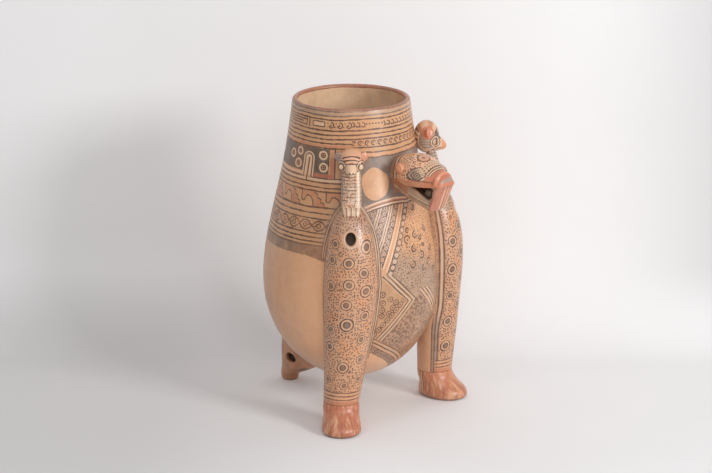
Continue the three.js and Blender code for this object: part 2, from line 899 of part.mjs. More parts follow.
// The raised fold that crosses the snout just behind its tip.
function noseCrest() {
  const { crestDistance, crestRadius } = CAT_HEAD;
  const [low, high, halfWidth] = skullAt(crestDistance);
  const [middle, tall] = [(low + high) / 2, (high - low) / 2];
  const rings = [];
  for (let i = 0; i <= 8; i++) {
    const t = lerp(-1, 1, i / 8) * 1.15;
    const out = new THREE.Vector3(Math.sin(t), 0, Math.cos(t));
    const place = new THREE.Vector3(halfWidth * out.x, -crestDistance, middle + tall * out.z);
    const size = crestRadius * Math.cos(t * 0.8) ** 0.5;
    rings.push(ring(place, out, ALONG, size * 0.8, size, 10));
  }
  return loft(rings);
}

function catSkull(room) {
  return headLoft(skullAt, headRoot, CAT_HEAD.noseDistance, 13, 0, 2.3)
    .add(catEye(RIGHT))
    .add(catEye(LEFT))
    .add(noseCrest())
    .intersect(aboveParting())
    .subtract(headChamber())
    .subtract(mouthCut())
    .subtract(room);
}

// Distance from the jar's axis, lowest and highest level, and half width of the jaw.
const jawAt = smooth([
  [headRoot, level(0.18), level(0.76), CAT_HEAD.neckWidth / 2],
  [reach(0.185), level(0.218), level(0.84), CAT_HEAD.neckWidth * 0.537],
  [reach(0.342), level(0.187), level(0.84), CAT_HEAD.width * 0.415],
  [reach(0.545), level(0.099), level(0.84), CAT_HEAD.width * 0.42],
  [reach(0.686), level(0.036), level(0.8), CAT_HEAD.width * 0.38],
  [CAT_HEAD.chinDistance, chinHeight, level(0.687), CAT_HEAD.muzzleWidth * 0.523],
  [reach(0.821), level(0.04), level(0.687), CAT_HEAD.muzzleWidth * 0.516],
  [reach(0.895), level(0.264), level(0.687), CAT_HEAD.muzzleWidth / 2],
  [CAT_HEAD.lipDistance, level(0.508), level(0.687), CAT_HEAD.muzzleWidth * 0.484],
]);

function lowerJaw(room) {
  return headLoft(jawAt, headRoot, CAT_HEAD.lipDistance, 17, 0, 4)
    .intersect(belowParting())
    .subtract(headChamber())
    .subtract(mouthCut())
    .subtract(room);
}

// A round ear knob, seated on the side of the skull.
function ear(side, room) {
  const [low, high, halfWidth] = skullAt(CAT_HEAD.earDistance);
  const up = (earHeight - (low + high) / 2) / ((high - low) / 2);
  const aside = halfWidth * Math.sqrt(Math.max(0, 1 - up * up));
  const place = new THREE.Vector3(
    side * (aside + CAT_HEAD.earRadius * 0.35),
    -CAT_HEAD.earDistance,
    earHeight + CAT_HEAD.earRadius * 0.25,
  );
  const radii = [1, 1.2, 1.08].map((k) => CAT_HEAD.earRadius * k);
  const knob = ellipsoid(place, ACROSS, ALONG, radii, 14, 7);
  const seat = headLoft(skullAt, headRoot, CAT_HEAD.noseDistance, 13, JOINT, 2.3);
  return knob.subtract(seat).subtract(room);
}

// The loose pellets that rattle in the hollows

function pellet(place, diameter) {
  return ball(place, diameter / 2, 12, 7);
}

function legPelletPlace(side) {
  const out = LEG.ankleDepth / 2 - LEG.wall - PELLET.leg / 2 - PELLET.clearance;
  const height = LEG.ankleHeight + JOINT + PELLET.leg / 2;
  return polar(side * LEG.ankleTurn, LEG.ankleRadius + out, height);
}

function headPelletPlace() {
  const [low] = chamberAt(PELLET.headDistance);
  const height = low + PELLET.head / 2 + PELLET.clearance;
  return new THREE.Vector3(0, -PELLET.headDistance, height);
}

// The assembly

const SLIP = {
  body: { color: 0xc99a70, roughness: 0.5 },
  spotted: { color: 0xc4916a, roughness: 0.5 },
  red: { color: 0xb2674a, roughness: 0.45 },
  bare: { color: 0x9c9186, roughness: 0.85 },
};

const jar = new THREE.Group();

function add(name, made, finish) {
  const out = made.getMesh();
  const geometry = new THREE.BufferGeometry();
  geometry.setAttribute("position", new THREE.BufferAttribute(out.vertProperties, 3));
  geometry.setIndex(new THREE.BufferAttribute(out.triVerts, 1));
  const flat = geometry.toNonIndexed();
  flat.computeVertexNormals();
  const mesh = new THREE.Mesh(
    flat,
    new THREE.MeshStandardMaterial({ ...finish, metalness: 0 }),
  );
  mesh.name = name;
  jar.add(mesh);
}

const room = jarRoom();
add("vessel_body", jarBody(), SLIP.body);
for (const [side, word] of [
  [RIGHT, "right"],
  [LEFT, "left"],
]) {
  add(`front_leg_${word}`, frontLeg(side, room), SLIP.spotted);
  add(`front_foot_${word}`, frontFoot(side), SLIP.red);
  add(`arm_${word}`, arm(side, room), SLIP.spotted);
  add(`figure_head_${word}`, figureHead(side, room), SLIP.body);
  add(`ear_${word}`, ear(side, room), SLIP.red);
  add(`leg_pellet_${word}`, pellet(legPelletPlace(side), PELLET.leg), SLIP.bare);
}
add("rear_leg", rearLeg(room), SLIP.body);
add("rear_leg_pellet", pellet(rearPelletPlace(), PELLET.rear), SLIP.bare);
add("cat_head", catSkull(room), SLIP.spotted);
add("lower_jaw", lowerJaw(room), SLIP.red);
add("head_pellet", pellet(headPelletPlace(), PELLET.head), SLIP.bare);

// The origin is on the ground under the middle of the whole object, a little in front of the jar's axis.
const extent = new THREE.Box3().setFromObject(jar);
jar.position.x = -(extent.min.x + extent.max.x) / 2;
jar.position.y = -(extent.min.y + extent.max.y) / 2;
jar.updateMatrixWorld(true);

export default jar;
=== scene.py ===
"""The looks of a hand-built, slip-painted pottery jar in the form of a standing cat.

Shapes are made in millimetres round the jar's own axis, with the cat facing -Y, and are moved
into the frame last.
"""

import math

import bmesh
import bpy
from mathutils import Matrix, Vector, noise


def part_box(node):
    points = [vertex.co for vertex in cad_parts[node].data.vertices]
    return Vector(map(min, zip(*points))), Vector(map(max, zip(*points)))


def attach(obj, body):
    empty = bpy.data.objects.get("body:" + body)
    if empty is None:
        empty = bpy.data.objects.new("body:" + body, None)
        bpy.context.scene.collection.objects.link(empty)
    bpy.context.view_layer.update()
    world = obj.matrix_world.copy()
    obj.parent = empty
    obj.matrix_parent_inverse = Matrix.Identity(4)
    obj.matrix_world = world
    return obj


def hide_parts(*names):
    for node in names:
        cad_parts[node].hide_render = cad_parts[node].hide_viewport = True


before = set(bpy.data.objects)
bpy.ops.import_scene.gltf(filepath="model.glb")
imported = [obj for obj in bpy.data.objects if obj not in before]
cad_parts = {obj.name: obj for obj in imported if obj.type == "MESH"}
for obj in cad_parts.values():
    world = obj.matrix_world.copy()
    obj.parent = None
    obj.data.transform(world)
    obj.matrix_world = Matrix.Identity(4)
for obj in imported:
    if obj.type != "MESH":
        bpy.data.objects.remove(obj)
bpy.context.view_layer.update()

low_corner, high_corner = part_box("vessel_body")
AXIS_X = (low_corner.x + high_corner.x) / 2
AXIS_Y = (low_corner.y + high_corner.y) / 2
INTO_FRAME = Matrix.Translation((AXIS_X, AXIS_Y, 0)) @ Matrix.Scale(0.001, 4)

RIGHT = -1
LEFT = 1
SIDES = ((RIGHT, "right"), (LEFT, "left"))

# Sizes, in millimetres, the same as the solids'

JAR_HEIGHT = 310
JAR_BOTTOM = 28
BELLY_HEIGHT = 130
BELLY_RADIUS = 87.4
MOUTH_RADIUS = 57.3
JAR_WALL = 6.5
LIP_WALL = 4.8
NECK_CURVE = ((87.4, 130), (87.4, 180), (66.7, 220), (57.3, 310))

LEG_BOTTOM = 27.3
LEG_TOP = 224
LEG_WALL = 5.5
VENT_HEIGHT = 195
ANKLE_RADIUS = 84.6
ANKLE_TURN = 53.1
ARM_TURN = 46.4

# Slips and pigments


def slip(red, green, blue):
    """A fired colour as the eye sees it, 0 to 255, turned into light."""

    def light(value):
        value /= 255
        return value / 12.92 if value <= 0.04045 else ((value + 0.055) / 1.055) ** 2.4

    return (light(red), light(green), light(blue), 1)


BUFF = slip(214, 161, 122)
WARM_BUFF = slip(218, 158, 113)
BAND = slip(204, 152, 108)
FIELD = slip(206, 154, 116)
LEG_SLIP = slip(200, 148, 112)
CREAM = slip(226, 188, 154)
ORANGE = slip(212, 150, 106)
RED = slip(184, 104, 76)
BROWN = slip(82, 52, 38)
DARK = slip(58, 40, 32)
UMBER = slip(94, 74, 62)
HAZE = slip(158, 140, 128)
INSIDE = slip(234, 200, 166)
RAW = slip(164, 154, 138)


# Forms

ACROSS = Vector((1, 0, 0))
BACK = Vector((0, 1, 0))
UP = Vector((0, 0, 1))


def lerp(a, b, t):
    return a + (b - a) * t


def polar(turn, distance, height):
    turn = math.radians(turn)
    return Vector((distance * math.sin(turn), -distance * math.cos(turn), height))


def outward(turn):
    return polar(turn, 1, 0)


def sideways(turn):
    turn = math.radians(turn)
    return Vector((math.cos(turn), math.sin(turn), 0))


def smooth_rows(rows):
    """A smooth curve through rows of numbers, each a position followed by values."""
    last = len(rows) - 1

    def value_at(at):
        if at <= rows[0][0]:
            return rows[0][1:]
        if at >= rows[last][0]:
            return rows[last][1:]
        i = max(k for k in range(last) if rows[k][0] <= at)
        a, b = rows[i], rows[i + 1]
        before, after = rows[max(i - 1, 0)], rows[min(i + 2, last)]
        span = b[0] - a[0]
        t = (at - a[0]) / span
        found = []
        for k in range(1, len(a)):
            rise = b[k] - a[k]
            start = (b[k] - before[k]) / (b[0] - before[0]) * span if i > 0 else rise
            end = (after[k] - a[k]) / (after[0] - a[0]) * span if i + 1 < last else rise
            found.append(
                (2 * t**3 - 3 * t**2 + 1) * a[k]
                + (t**3 - 2 * t**2 + t) * start
                + (3 * t**2 - 2 * t**3) * b[k]
                + (t**3 - t**2) * end
            )
        return found

    return value_at


def facing_out(mesh):
    bmesh.ops.recalc_face_normals(mesh, faces=mesh.faces[:])
    return mesh


def joined_up(mesh):
    """Doubled points are merged, and the faces point outwards."""
    bmesh.ops.remove_doubles(mesh, verts=mesh.verts[:], dist=1e-5)
    return facing_out(mesh)


def full_turn(mesh, geom, steps):
    """Sweep a line or a ring once about the upright axis."""
    bmesh.ops.spin(
        mesh,
        geom=geom,
        cent=(0, 0, 0),
        axis=(0, 0, 1),
        dvec=(0, 0, 0),
        angle=2 * math.pi,
        steps=steps,
        use_merge=True,
    )


def spun(points, sides):
    """A closed skin spun from a line of distances and heights."""
    mesh = bmesh.new()
    line = [mesh.verts.new((x, 0, z)) for x, z in points]
    edges = [mesh.edges.new(pair) for pair in zip(line, line[1:])]
    full_turn(mesh, line + edges, sides)
    return joined_up(mesh)


def shaped(sides, levels, rule):
    """A closed drum of radius 1 and height 1, whose points a rule then places.

    The rule is given a point's angle, its share of the radius and its height.
    """
    rings = (0, 0.35, 0.7, 0.9)
    line = [(x, 0) for x in rings] + [(1, i / levels) for i in range(levels + 1)]
    mesh = spun(line + [(x, 1) for x in rings[::-1]], sides)
    for point in mesh.verts:
        x, y, z = point.co
        point.co = rule(math.atan2(y, x), math.hypot(x, y), z)
    facing_out(mesh)
    if mesh.calc_volume(signed=True) < 0:
        bmesh.ops.reverse_faces(mesh, faces=mesh.faces[:])
    return mesh


def ball(centre, radii, sides=32, across=ACROSS, along=BACK):
    mesh = bmesh.new()
    bmesh.ops.create_uvsphere(mesh, u_segments=sides, v_segments=sides // 2, radius=1)
    for point in mesh.verts:
        x, y, z = point.co
        point.co = centre + across * (x * radii[0]) + along * (y * radii[1])
        point.co += UP * (z * radii[2])
    return facing_out(mesh)


def hoop(centre, across, along, radius, thickness, tall=1.0):
    """A closed ring of clay round a centre, in the plane of two directions."""
    mesh = bmesh.new()
    bmesh.ops.create_circle(mesh, segments=12, radius=thickness)
    bmesh.ops.rotate(mesh, verts=mesh.verts[:], matrix=Matrix.Rotation(math.pi / 2, 3, "X"))
    bmesh.ops.translate(mesh, verts=mesh.verts[:], vec=(radius, 0, 0))
    full_turn(mesh, mesh.verts[:] + mesh.edges[:], 28)
    facing = across.cross(along)
    for point in mesh.verts:
        x, y, z = point.co
        point.co = centre + across * x + along * (y * tall) + facing * z
    return joined_up(mesh)


def jar_curve(t):
    """The distance and height of the wall along the neck, from belly to lip."""
    a = 1 - t
    weights = (a**3, 3 * a * a * t, 3 * a * t * t, t**3)
    return [sum(w * p[axis] for w, p in zip(weights, NECK_CURVE)) for axis in (0, 1)]


def jar_radius(height):
    if height <= BELLY_HEIGHT:
        share = (BELLY_HEIGHT - height) / (BELLY_HEIGHT - JAR_BOTTOM)
        return BELLY_RADIUS * math.sqrt(max(0, 1 - share * share))
    low, high = 0, 1
    for _ in range(24):
        t = (low + high) / 2
        low, high = (t, high) if jar_curve(t)[1] < height else (low, t)
    return jar_curve(low)[0]


def outside_jar(point, sunk):
    """A point that lies deeper in the jar than an amount is brought up to that depth."""
    distance = math.hypot(point.x, point.y)
    if point.z >= BELLY_HEIGHT:
        least = jar_radius(min(point.z, JAR_HEIGHT)) - sunk
        if distance < least:
            grow = least / max(distance, 1e-6)
            return Vector((point.x * grow, point.y * grow, point.z))
        return point
    drop = point.z - BELLY_HEIGHT
    depth = math.hypot(distance / BELLY_RADIUS, drop / (BELLY_HEIGHT - JAR_BOTTOM))
    least = 1 - sunk / BELLY_RADIUS
    if depth < least:
        grow = least / max(depth, 1e-6)
        return Vector((point.x * grow, point.y * grow, BELLY_HEIGHT + drop * grow))
    return point


# Finishing meshes


def as_data(name, mesh):
    """Mesh data made from a bmesh, which is used up."""
    data = bpy.data.meshes.new(name)
    mesh.to_mesh(data)
    mesh.free()
    return data


def linked(name, data):
    made = bpy.data.objects.new(name, data)
    bpy.context.scene.collection.objects.link(made)
    return made


def forget(block):
    """Remove an object that was only a tool, and its mesh."""
    data = block.data
    bpy.data.objects.remove(block)
    bpy.data.meshes.remove(data)


def evaluated(mesh, *changes):
    """A mesh with modifiers applied. Each change is a kind and its settings."""
    block = linked("clay", as_data("clay", mesh))
    for kind, settings in changes:
        modifier = block.modifiers.new(kind.lower(), kind)
        for key, value in settings.items():
            setattr(modifier, key, value)
    depsgraph = bpy.context.evaluated_depsgraph_get()
    made = bpy.data.meshes.new_from_object(block.evaluated_get(depsgraph))
    result = bmesh.new()
    result.from_mesh(made)
    forget(block)
    bpy.data.meshes.remove(made)
    return result


def carved(mesh, *cutters, operation="DIFFERENCE"):
    tools = [linked("cutter", as_data("cutter", cutter)) for cutter in cutters]
    settings = [{"object": tool, "operation": operation, "solver": "EXACT"} for tool in tools]
    result = evaluated(mesh, *(("BOOLEAN", each) for each in settings))
    for tool in tools:
        forget(tool)
    return result


def pressed_together(meshes, grain, passes=4):
    """Closed lumps of clay worked into one skin, as fine as the grain."""
    whole = bmesh.new()
    for mesh in meshes:
        data = as_data("lump", mesh)
        whole.from_mesh(data)
        bpy.data.meshes.remove(data)
    skin = evaluated(whole, ("REMESH", {"mode": "VOXEL", "voxel_size": grain, "adaptivity": 0}))
    axes = {f"use_axis_{axis}": True for axis in "xyz"}
    for _ in range(passes):
        bmesh.ops.smooth_vert(skin, verts=skin.verts[:], factor=0.5, **axes)
    return skin


def uneven(point):
    """The slight unevenness of a hand-built wall, always inwards, with soles and lip kept level."""
    slow = noise.noise(point * 0.017)
    quick = noise.noise(point * 0.055 + Vector((31, 7, 3)))
    shrink = 1 - 0.0055 * (0.6 + 0.55 * slow + 0.3 * quick)
    sag = 0.5 * (0.5 + 0.5 * noise.noise(point * 0.03)) * max(0, min(1, (point.z - 292) / 16))
    return Vector((point.x * shrink, point.y * shrink, point.z - sag))


def smoothed(data):
    data.polygons.foreach_set("use_smooth", [True] * len(data.polygons))
    return data


def fired(name, mesh, material, node, body="vessel"):
    """A finished piece, moved into the frame, in place of its solid."""
    for point in mesh.verts:
        point.co = uneven(point.co)
    bmesh.ops.transform(mesh, matrix=INTO_FRAME, verts=mesh.verts[:])
    data = smoothed(as_data(name, mesh))
    data.materials.append(material)
    piece = linked(name, data)
    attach(piece, body)
    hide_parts(node)
    return piece


# The jar's body

BOWL_STEPS = 70
NECK_STEPS = 110
LIP_STEPS = 10
JAR_SIDES = 220


def jar_mesh():
    """One line up the outside, over the lip and down the inside, spun round the axis."""
    outline = []
    for i in range(BOWL_STEPS):
        t = math.pi / 2 * i / BOWL_STEPS
        depth = (BELLY_HEIGHT - JAR_BOTTOM) * math.cos(t)
        outline.append((BELLY_RADIUS * math.sin(t), BELLY_HEIGHT - depth))
    outline += [jar_curve(i / NECK_STEPS) for i in range(NECK_STEPS + 1)]
    inside = []
    for i in range(0, len(outline) - 1, 2):
        x, z = outline[i]
        x1, z1 = outline[i + 1]
        run = math.hypot(x1 - x, z1 - z)
        wall = lerp(JAR_WALL, LIP_WALL, max(0, (i - BOWL_STEPS) / NECK_STEPS))
        inside.append((max(0, x - (z1 - z) / run * wall), z + (x1 - x) / run * wall))
    inside[0] = (0, JAR_BOTTOM + JAR_WALL)
    half = LIP_WALL / 2
    lip = []
    for i in range(LIP_STEPS + 1):
        t = math.pi * i / LIP_STEPS
        x, z = half * math.cos(t), half * math.sin(t)
        lip.append((MOUTH_RADIUS - half + x, JAR_HEIGHT - half + z))
    outline = [p for p in outline if p[1] < JAR_HEIGHT - half - 0.4]
    inside = [p for p in inside if p[1] < JAR_HEIGHT - half - 0.6]
    return spun(outline + lip + inside[::-1], JAR_SIDES)


# The front legs

THIGH_RADIUS = 88.2
THIGH_TURN = 46.8


def leg_rows():
    """Height, distance from the axis, turn, and half the width and depth."""
    ankle, knee = 27, 143
    sections = ((ankle, 34.6, 34.6), (61, 40.2, 38.6), (92, 45.4, 41.6), (knee, 53.4, 45))
    rows = []
    for height, width, depth in sections:
        share = (height - ankle) / (knee - ankle)
        distance = lerp(ANKLE_RADIUS, THIGH_RADIUS, share)
        turn = lerp(ANKLE_TURN, THIGH_TURN, share**0.8)
        rows.append((height, distance, turn, width / 2, depth / 2))
    rows.append((175, THIGH_RADIUS - 1.2, THIGH_TURN, 24.3, 22))
    rows.append((203, 82.4, THIGH_TURN, 19.1, 18.7))
    rows.append((213.92, 80.11, THIGH_TURN, 14.13, 14.96))
    rows.append((LEG_TOP, 78, THIGH_TURN, 4.78, 5.6))
    return rows


leg_at = smooth_rows(leg_rows())


def leg_tube(side, bottom, top, grow, sunk, sides=64, levels=70):
    def place(angle, radius, height):
        z = lerp(bottom, top, height)
        distance, turn, half_width, half_depth = leg_at(z)
        point = polar(side * turn, distance, z)
        point += sideways(side * turn) * ((half_width + grow) * radius * math.sin(angle))
        point += outward(side * turn) * ((half_depth + grow) * radius * math.cos(angle))
        if height >= 1:
            point.z += 2.2 * (1 - radius)
        return outside_jar(point, sunk)

    return shaped(sides, levels, place)


def leg_vent(side):
    distance, turn = leg_at(VENT_HEIGHT)[:2]

    def place(angle, radius, height):
        flare = 1 + 0.22 * max(0, (height - 0.42) / 0.58) ** 2
        point = polar(side * turn, distance + 36 * height, VENT_HEIGHT)
        point += sideways(side * turn) * (5 * flare * radius * math.sin(angle))
        point += UP * (6.25 * flare * radius * math.cos(angle))
        return point

    return shaped(32, 16, place)


def leg_mesh(side):
    outer = leg_tube(side, LEG_BOTTOM, LEG_TOP, 0, 3)
    inner = leg_tube(side, LEG_BOTTOM - 1, LEG_TOP - 11, -LEG_WALL, 1, 40, 40)
    hollow = carved(outer, inner, leg_vent(side))
    return pressed_together([hollow], 1.05, 1)


def note_wrap(piece, side):
    """Where each point of a leg lies across and along its section, for the painter's rosettes."""
    wrap = piece.data.attributes.new("wrap", "FLOAT_VECTOR", "POINT")
    back = INTO_FRAME.inverted()
    values = []
    for vertex in piece.data.vertices:
        point = back @ vertex.co
        distance, turn, half_width, half_depth = leg_at(point.z)
        local = point - polar(side * turn, distance, point.z)
        values += [
            local.dot(sideways(side * turn)) / half_width,
            local.dot(outward(side * turn)) / half_depth,
            (half_width + half_depth) / 2,
        ]
    wrap.data.foreach_set("vector", values)


# The feet

# Height, how far it reaches ahead, half the length, half the width and the fan of the toes.
foot_at = smooth_rows(
    [
        (0, 9.5, 23, 16.75, 0.14),
        (2.5, 9.5, 25.5, 18.75, 0.14),
        (9, 8.7, 24.5, 18.35, 0.12),
        (15.12, 5.2, 20.3, 17.35, 0.06),
        (21.06, 1.5, 18.1, 17.8, 0.02),
        (27, 0, 17.3, 17.3, 0),
    ]
)


FOOT_TOP = 27.25
TOES = 5
TOE_FAN = 1.5
TOE_END = 0.78


def foot_heading(side):
    return side * (45 if side == RIGHT else 15)


def foot_mesh(side):
    heading = foot_heading(side)
    ankle = polar(side * ANKLE_TURN, ANKLE_RADIUS, 0)

    def place(angle, radius, height):
        z = FOOT_TOP * height**1.25
        ahead, half_length, half_width, spread = foot_at(z)
        toes = max(0, math.cos(angle)) ** 0.5 * max(0, 1 - z / 19)
        press = 0.55 * toes * max(0, math.cos(TOES * angle / TOE_FAN * math.pi + math.pi)) ** 6
        if abs(angle) > TOE_END:
            press = 0
        forward = math.cos(angle) * radius
        aside = math.sin(angle) * (1 + spread * math.cos(angle)) * radius
        point = ankle + UP * z
        point += outward(heading) * (ahead + (half_length - press) * forward)
        point += sideways(heading) * ((half_width - press) * aside)
        return point

    return shaped(120, 40, place)


# The rear leg

# Height, the near and the far side's distance from the axis, and half the width.
rear_at = smooth_rows(
    [
        (0, 79.4, 94.6, 7.8),
        (2, 78.2, 95.8, 8.8),
        (7, 76.7, 96.2, 9.4),
        (16.2, 57.95, 95.4, 12.24),
        (33, 30, 95.4, 15.98),
        (55, 30, 92.9, 17),
        (77, 36, 85.4, 14.96),
        (90, 42, 78.4, 8.5),
    ]
)


def rear_tube(bottom, top, grow, sunk, sides=56, levels=50):
    def place(angle, radius, height):
        z = lerp(bottom, top, height**1.1)
        near, far, half_width = rear_at(z)
        x = (half_width + grow) * radius * math.sin(angle)
        y = (near + far) / 2 + ((far - near) / 2 + grow) * radius * math.cos(angle)
        return outside_jar(Vector((x, y, z)), sunk)

    return shaped(sides, levels, place)


def rear_vent():
    def place(angle, radius, height):
        flare = 1 + 0.25 * max(0, (height - 0.4) / 0.6) ** 2
        y = 72 + 7.5 * flare * radius * math.sin(angle)
        return Vector((-30 * height, y, 29 + 5 * flare * radius * math.cos(angle)))

    return shaped(32, 16, place)


REAR_PELLET = Vector((0, 83, 21.9))
REAR_WELL = 6.9
REAR_TOP = 90


def rear_mesh():
    outer = rear_tube(0, REAR_TOP, 0, 3)
    inner = rear_tube(18, REAR_TOP - 6, -5.2, 1, 40, 30)
    well = ball(REAR_PELLET, (REAR_WELL, REAR_WELL, REAR_WELL), 28)
    return pressed_together([carved(outer, inner, well, rear_vent())], 0.9, 1)


# The arms


def leg_skin(height):
    distance, _, _, half_depth = leg_at(height)
    return distance + half_depth


def arm_stations():
    """Share of the strap, distance from the axis, height, width and thickness."""
    elbow = jar_radius(238) + 14.2
    paw = leg_skin(220.5) + 0.4
    return [
        (0, jar_radius(257) + 12.4, 257, 17.5, 9.6),
        (0.2, jar_radius(248) + 13, 248, 18.6, 10.6),
        (0.42, elbow, 238, 19.4, 9.6),
        (0.62, lerp(elbow, paw, 0.46), 229.25, 19.4, 9.6),
        (0.82, paw, 220.5, 18.8, 10.6),
        (0.94, leg_skin(218) + 1, 218, 15.8, 7.8),
        (1, leg_skin(215.5) + 0.4, 215.5, 12.5, 4.7),
    ]


arm_at = smooth_rows(arm_stations())


def arm_mesh(side):
    turn = side * ARM_TURN

    def place(angle, radius, height):
        distance, z, width, thickness = arm_at(height)
        d0, z0 = arm_at(max(0, height - 0.02))[:2]
        d1, z1 = arm_at(min(1, height + 0.02))[:2]
        run = Vector((d1 - d0, 0, z1 - z0)).normalized()
        across = math.copysign(abs(math.sin(angle)) ** 0.8, math.sin(angle)) * radius
        out = math.copysign(abs(math.cos(angle)) ** 0.8, math.cos(angle)) * radius
        fingers = max(0, min(1, (height - 0.72) / 0.1))
        ridge = abs(math.cos(across * math.pi * 2)) ** 0.6 if abs(across) < 0.92 else 1
        out *= 1 - 0.26 * fingers * (1 - ridge) * (1 if out > 0 else 0)
        tip = 1.6 * fingers * ridge * max(0, (height - 0.9) / 0.1) * radius
        point = polar(turn, distance - run.z * out * thickness / 2, z + run.x * out * thickness / 2)
        point += sideways(turn) * (across * width / 2)
        point.z -= tip
        return outside_jar(point, 2.5)

    return shaped(96, 90, place)


# The small heads that crown the arms

HEAD_HEIGHTS = {RIGHT: 263.7, LEFT: 269}
HEAD_TALL = {RIGHT: 26.4, LEFT: 32.4}


def head_place(side):
    height = HEAD_HEIGHTS[side]
    return polar(side * ARM_TURN, jar_radius(height) + 10.8, height)


def small_head_mesh(side):
    turn = side * ARM_TURN
    middle = head_place(side)
    out = outward(turn)
    across = sideways(turn)
    tall = HEAD_TALL[side]
    base = 0.284 * tall

    def at(aside, ahead, above):
        return middle + across * (aside * 25.4) + out * (ahead * 25.2) + UP * (above * tall)

    snout_at = smooth_rows(
        [
            (0, 0.1, 0.42, base),
            (0.35, 0.45, 0.56, base - 0.1),
            (0.7, 0.8, 0.84, lerp(base, 2.3, 0.49)),
            (1, 1, 1, 2.3),
        ]
    )

    def snout(angle, radius, height):
        ahead, down, size = snout_at(height)
        point = middle + out * (19.2 * ahead) - UP * (0.29 * tall * down)
        if height >= 1:
            point += out * (0.8 * (1 - radius))
        point += across * (0.88 * size * radius * math.sin(angle))
        return point + UP * (size * radius * math.cos(angle))

    lumps = [
        ball(middle, (12.7, 12.6, tall / 2), 36, across, out),
        shaped(32, 16, snout),
        ball(at(0, 0.3, 0.16), (8.6, 4.4, 0.105 * tall), 24, across, out),
    ]
    for way in (-1, 1):
        eye = at(way * 0.31, 0.28, -0.1)
        lumps.append(ball(eye, (3.6, 3.6, 3.6), 24, across, out))
        lumps.append(hoop(eye + out * 2.1 + across * way * 0.9, across, UP, 3.0, 0.8))
        ear = at(way * 0.47, 0, 0.2)
        tilt = (across * way * 0.45 + out * 0.9).normalized()
        lumps.append(ball(ear, (3.4, 2.6, 4.0), 20, across, out))
        lumps.append(hoop(ear + tilt * 0.9, tilt.cross(UP) * -way, UP, 2.9, 1.15, 1.12))
    return pressed_together(lumps, 0.5, 3)


# The large head: skull, jaw and ears

HEAD_ROOT = 62.2
NOSE = 126
JAW_FRONT = 124.2
CHIN = 216.6
CROWN = 268.4
EYE_REACH = 99.5
EYE_HEIGHT = 251.4
EAR_REACH = 80.5
EAR_HEIGHT = 254.5
CREST_REACH = 119.4
# How square a section is: 2 is round, and more is squarer.
SKULL_POWER = 2.3
JAW_POWER = 4


def reach(share):
    return lerp(HEAD_ROOT, NOSE, share)


def level(share):
    return lerp(CHIN, CROWN, share)


# Distance from the axis, the lowest and the highest point, and half the width.
skull_at = smooth_rows(
    [
        (HEAD_ROOT, level(0.12), level(0.86), 13.5),
        (reach(0.15), level(0.08), level(0.925), 15.12),
        (reach(0.28), level(0.06), level(0.972), 18.2),
        (90, level(0.04), CROWN, 20),
        (reach(0.59), level(0.04), level(0.962), 19.28),
        (reach(0.72), level(0.04), level(0.893), 17.2),
        (reach(0.83), level(0.04), level(0.79), 14.59),
        (reach(0.92), level(0.1), level(0.71), 13),
        (NOSE, level(0.28), 250.5, 10.24),
    ]
)
jaw_at = smooth_rows(
    [
        (HEAD_ROOT, level(0.18), level(0.76), 13.5),
        (reach(0.185), level(0.218), level(0.84), 14.5),
        (reach(0.342), level(0.187), level(0.84), 16.6),
        (reach(0.545), level(0.099), level(0.84), 16.8),
        (reach(0.686), level(0.036), level(0.8), 15.2),
        (113, CHIN, level(0.687), 13.39),
        (reach(0.821), level(0.04), level(0.687), 13.2),
        (reach(0.895), level(0.264), level(0.687), 12.8),
        (JAW_FRONT, level(0.508), level(0.687), 12.4),
    ]
)
CHAMBER_BACK = reach(0.216)
CHAMBER_FRONT = reach(0.765)
chamber_at = smooth_rows(
    [
        (CHAMBER_BACK, level(0.268), level(0.675), 8.3),
        (reach(0.342), level(0.218), level(0.754), 11.2),
        (reach(0.5), level(0.179), level(0.794), 11.8),
        (103, level(0.147), level(0.734), 9.8),
        (CHAMBER_FRONT, level(0.218), level(0.595), 7.6),
    ]
)


def head_form(at, back, front, power, sides=88, levels=70):
    def bend(value):
        return math.copysign(abs(value) ** (2 / power), value)

    def place(angle, radius, height):
        distance = lerp(back, front, height)
        low, high, half_width = at(distance)
        x = half_width * radius * bend(math.sin(angle))
        rise = (high - low) / 2 * radius * bend(math.cos(angle))
        return Vector((x, -distance, (low + high) / 2 + rise))

    return shaped(sides, levels, place)


def side_plate(points, half_width):
    """A flat shape drawn in distance and height, extruded across the cat's own plane."""
    mesh = bmesh.new()
    corners = [mesh.verts.new((-half_width, -d, h)) for d, h in points]
    face = mesh.faces.new(corners)
    grown = bmesh.ops.extrude_face_region(mesh, geom=[face])
    moved = [v for v in grown["geom"] if isinstance(v, bmesh.types.BMVert)]
    bmesh.ops.translate(mesh, verts=moved, vec=(2 * half_width, 0, 0))
    return facing_out(mesh)


# Where skull and jaw part, and the opening of the mouth, by distance and height.
PARTING = ((-10, 244.6), (77.5, 243.1), (94.5, 239.6), (119, 242.2), (150, 244.6))
MOUTH = (
    (92.5, 240.6), (98.5, 236.4), (103.5, 232.9), (109, 230), (113.6, 228),
    (117.2, 232), (119, 240.4), (116.6, 241.6), (109, 241.5), (102.5, 241.1),
)


def opened(whole, kept_side):
    """A lump with the chamber and the mouth cut out, on one side of the parting line."""
    chamber = head_form(chamber_at, CHAMBER_BACK, CHAMBER_FRONT, SKULL_POWER, 40, 24)
    hollow = carved(whole, chamber, side_plate(MOUTH, 60))
    kept = carved(hollow, side_plate(kept_side, 80), operation="INTERSECT")
    for point in kept.verts:
        point.co = outside_jar(point.co, 3)
    return kept


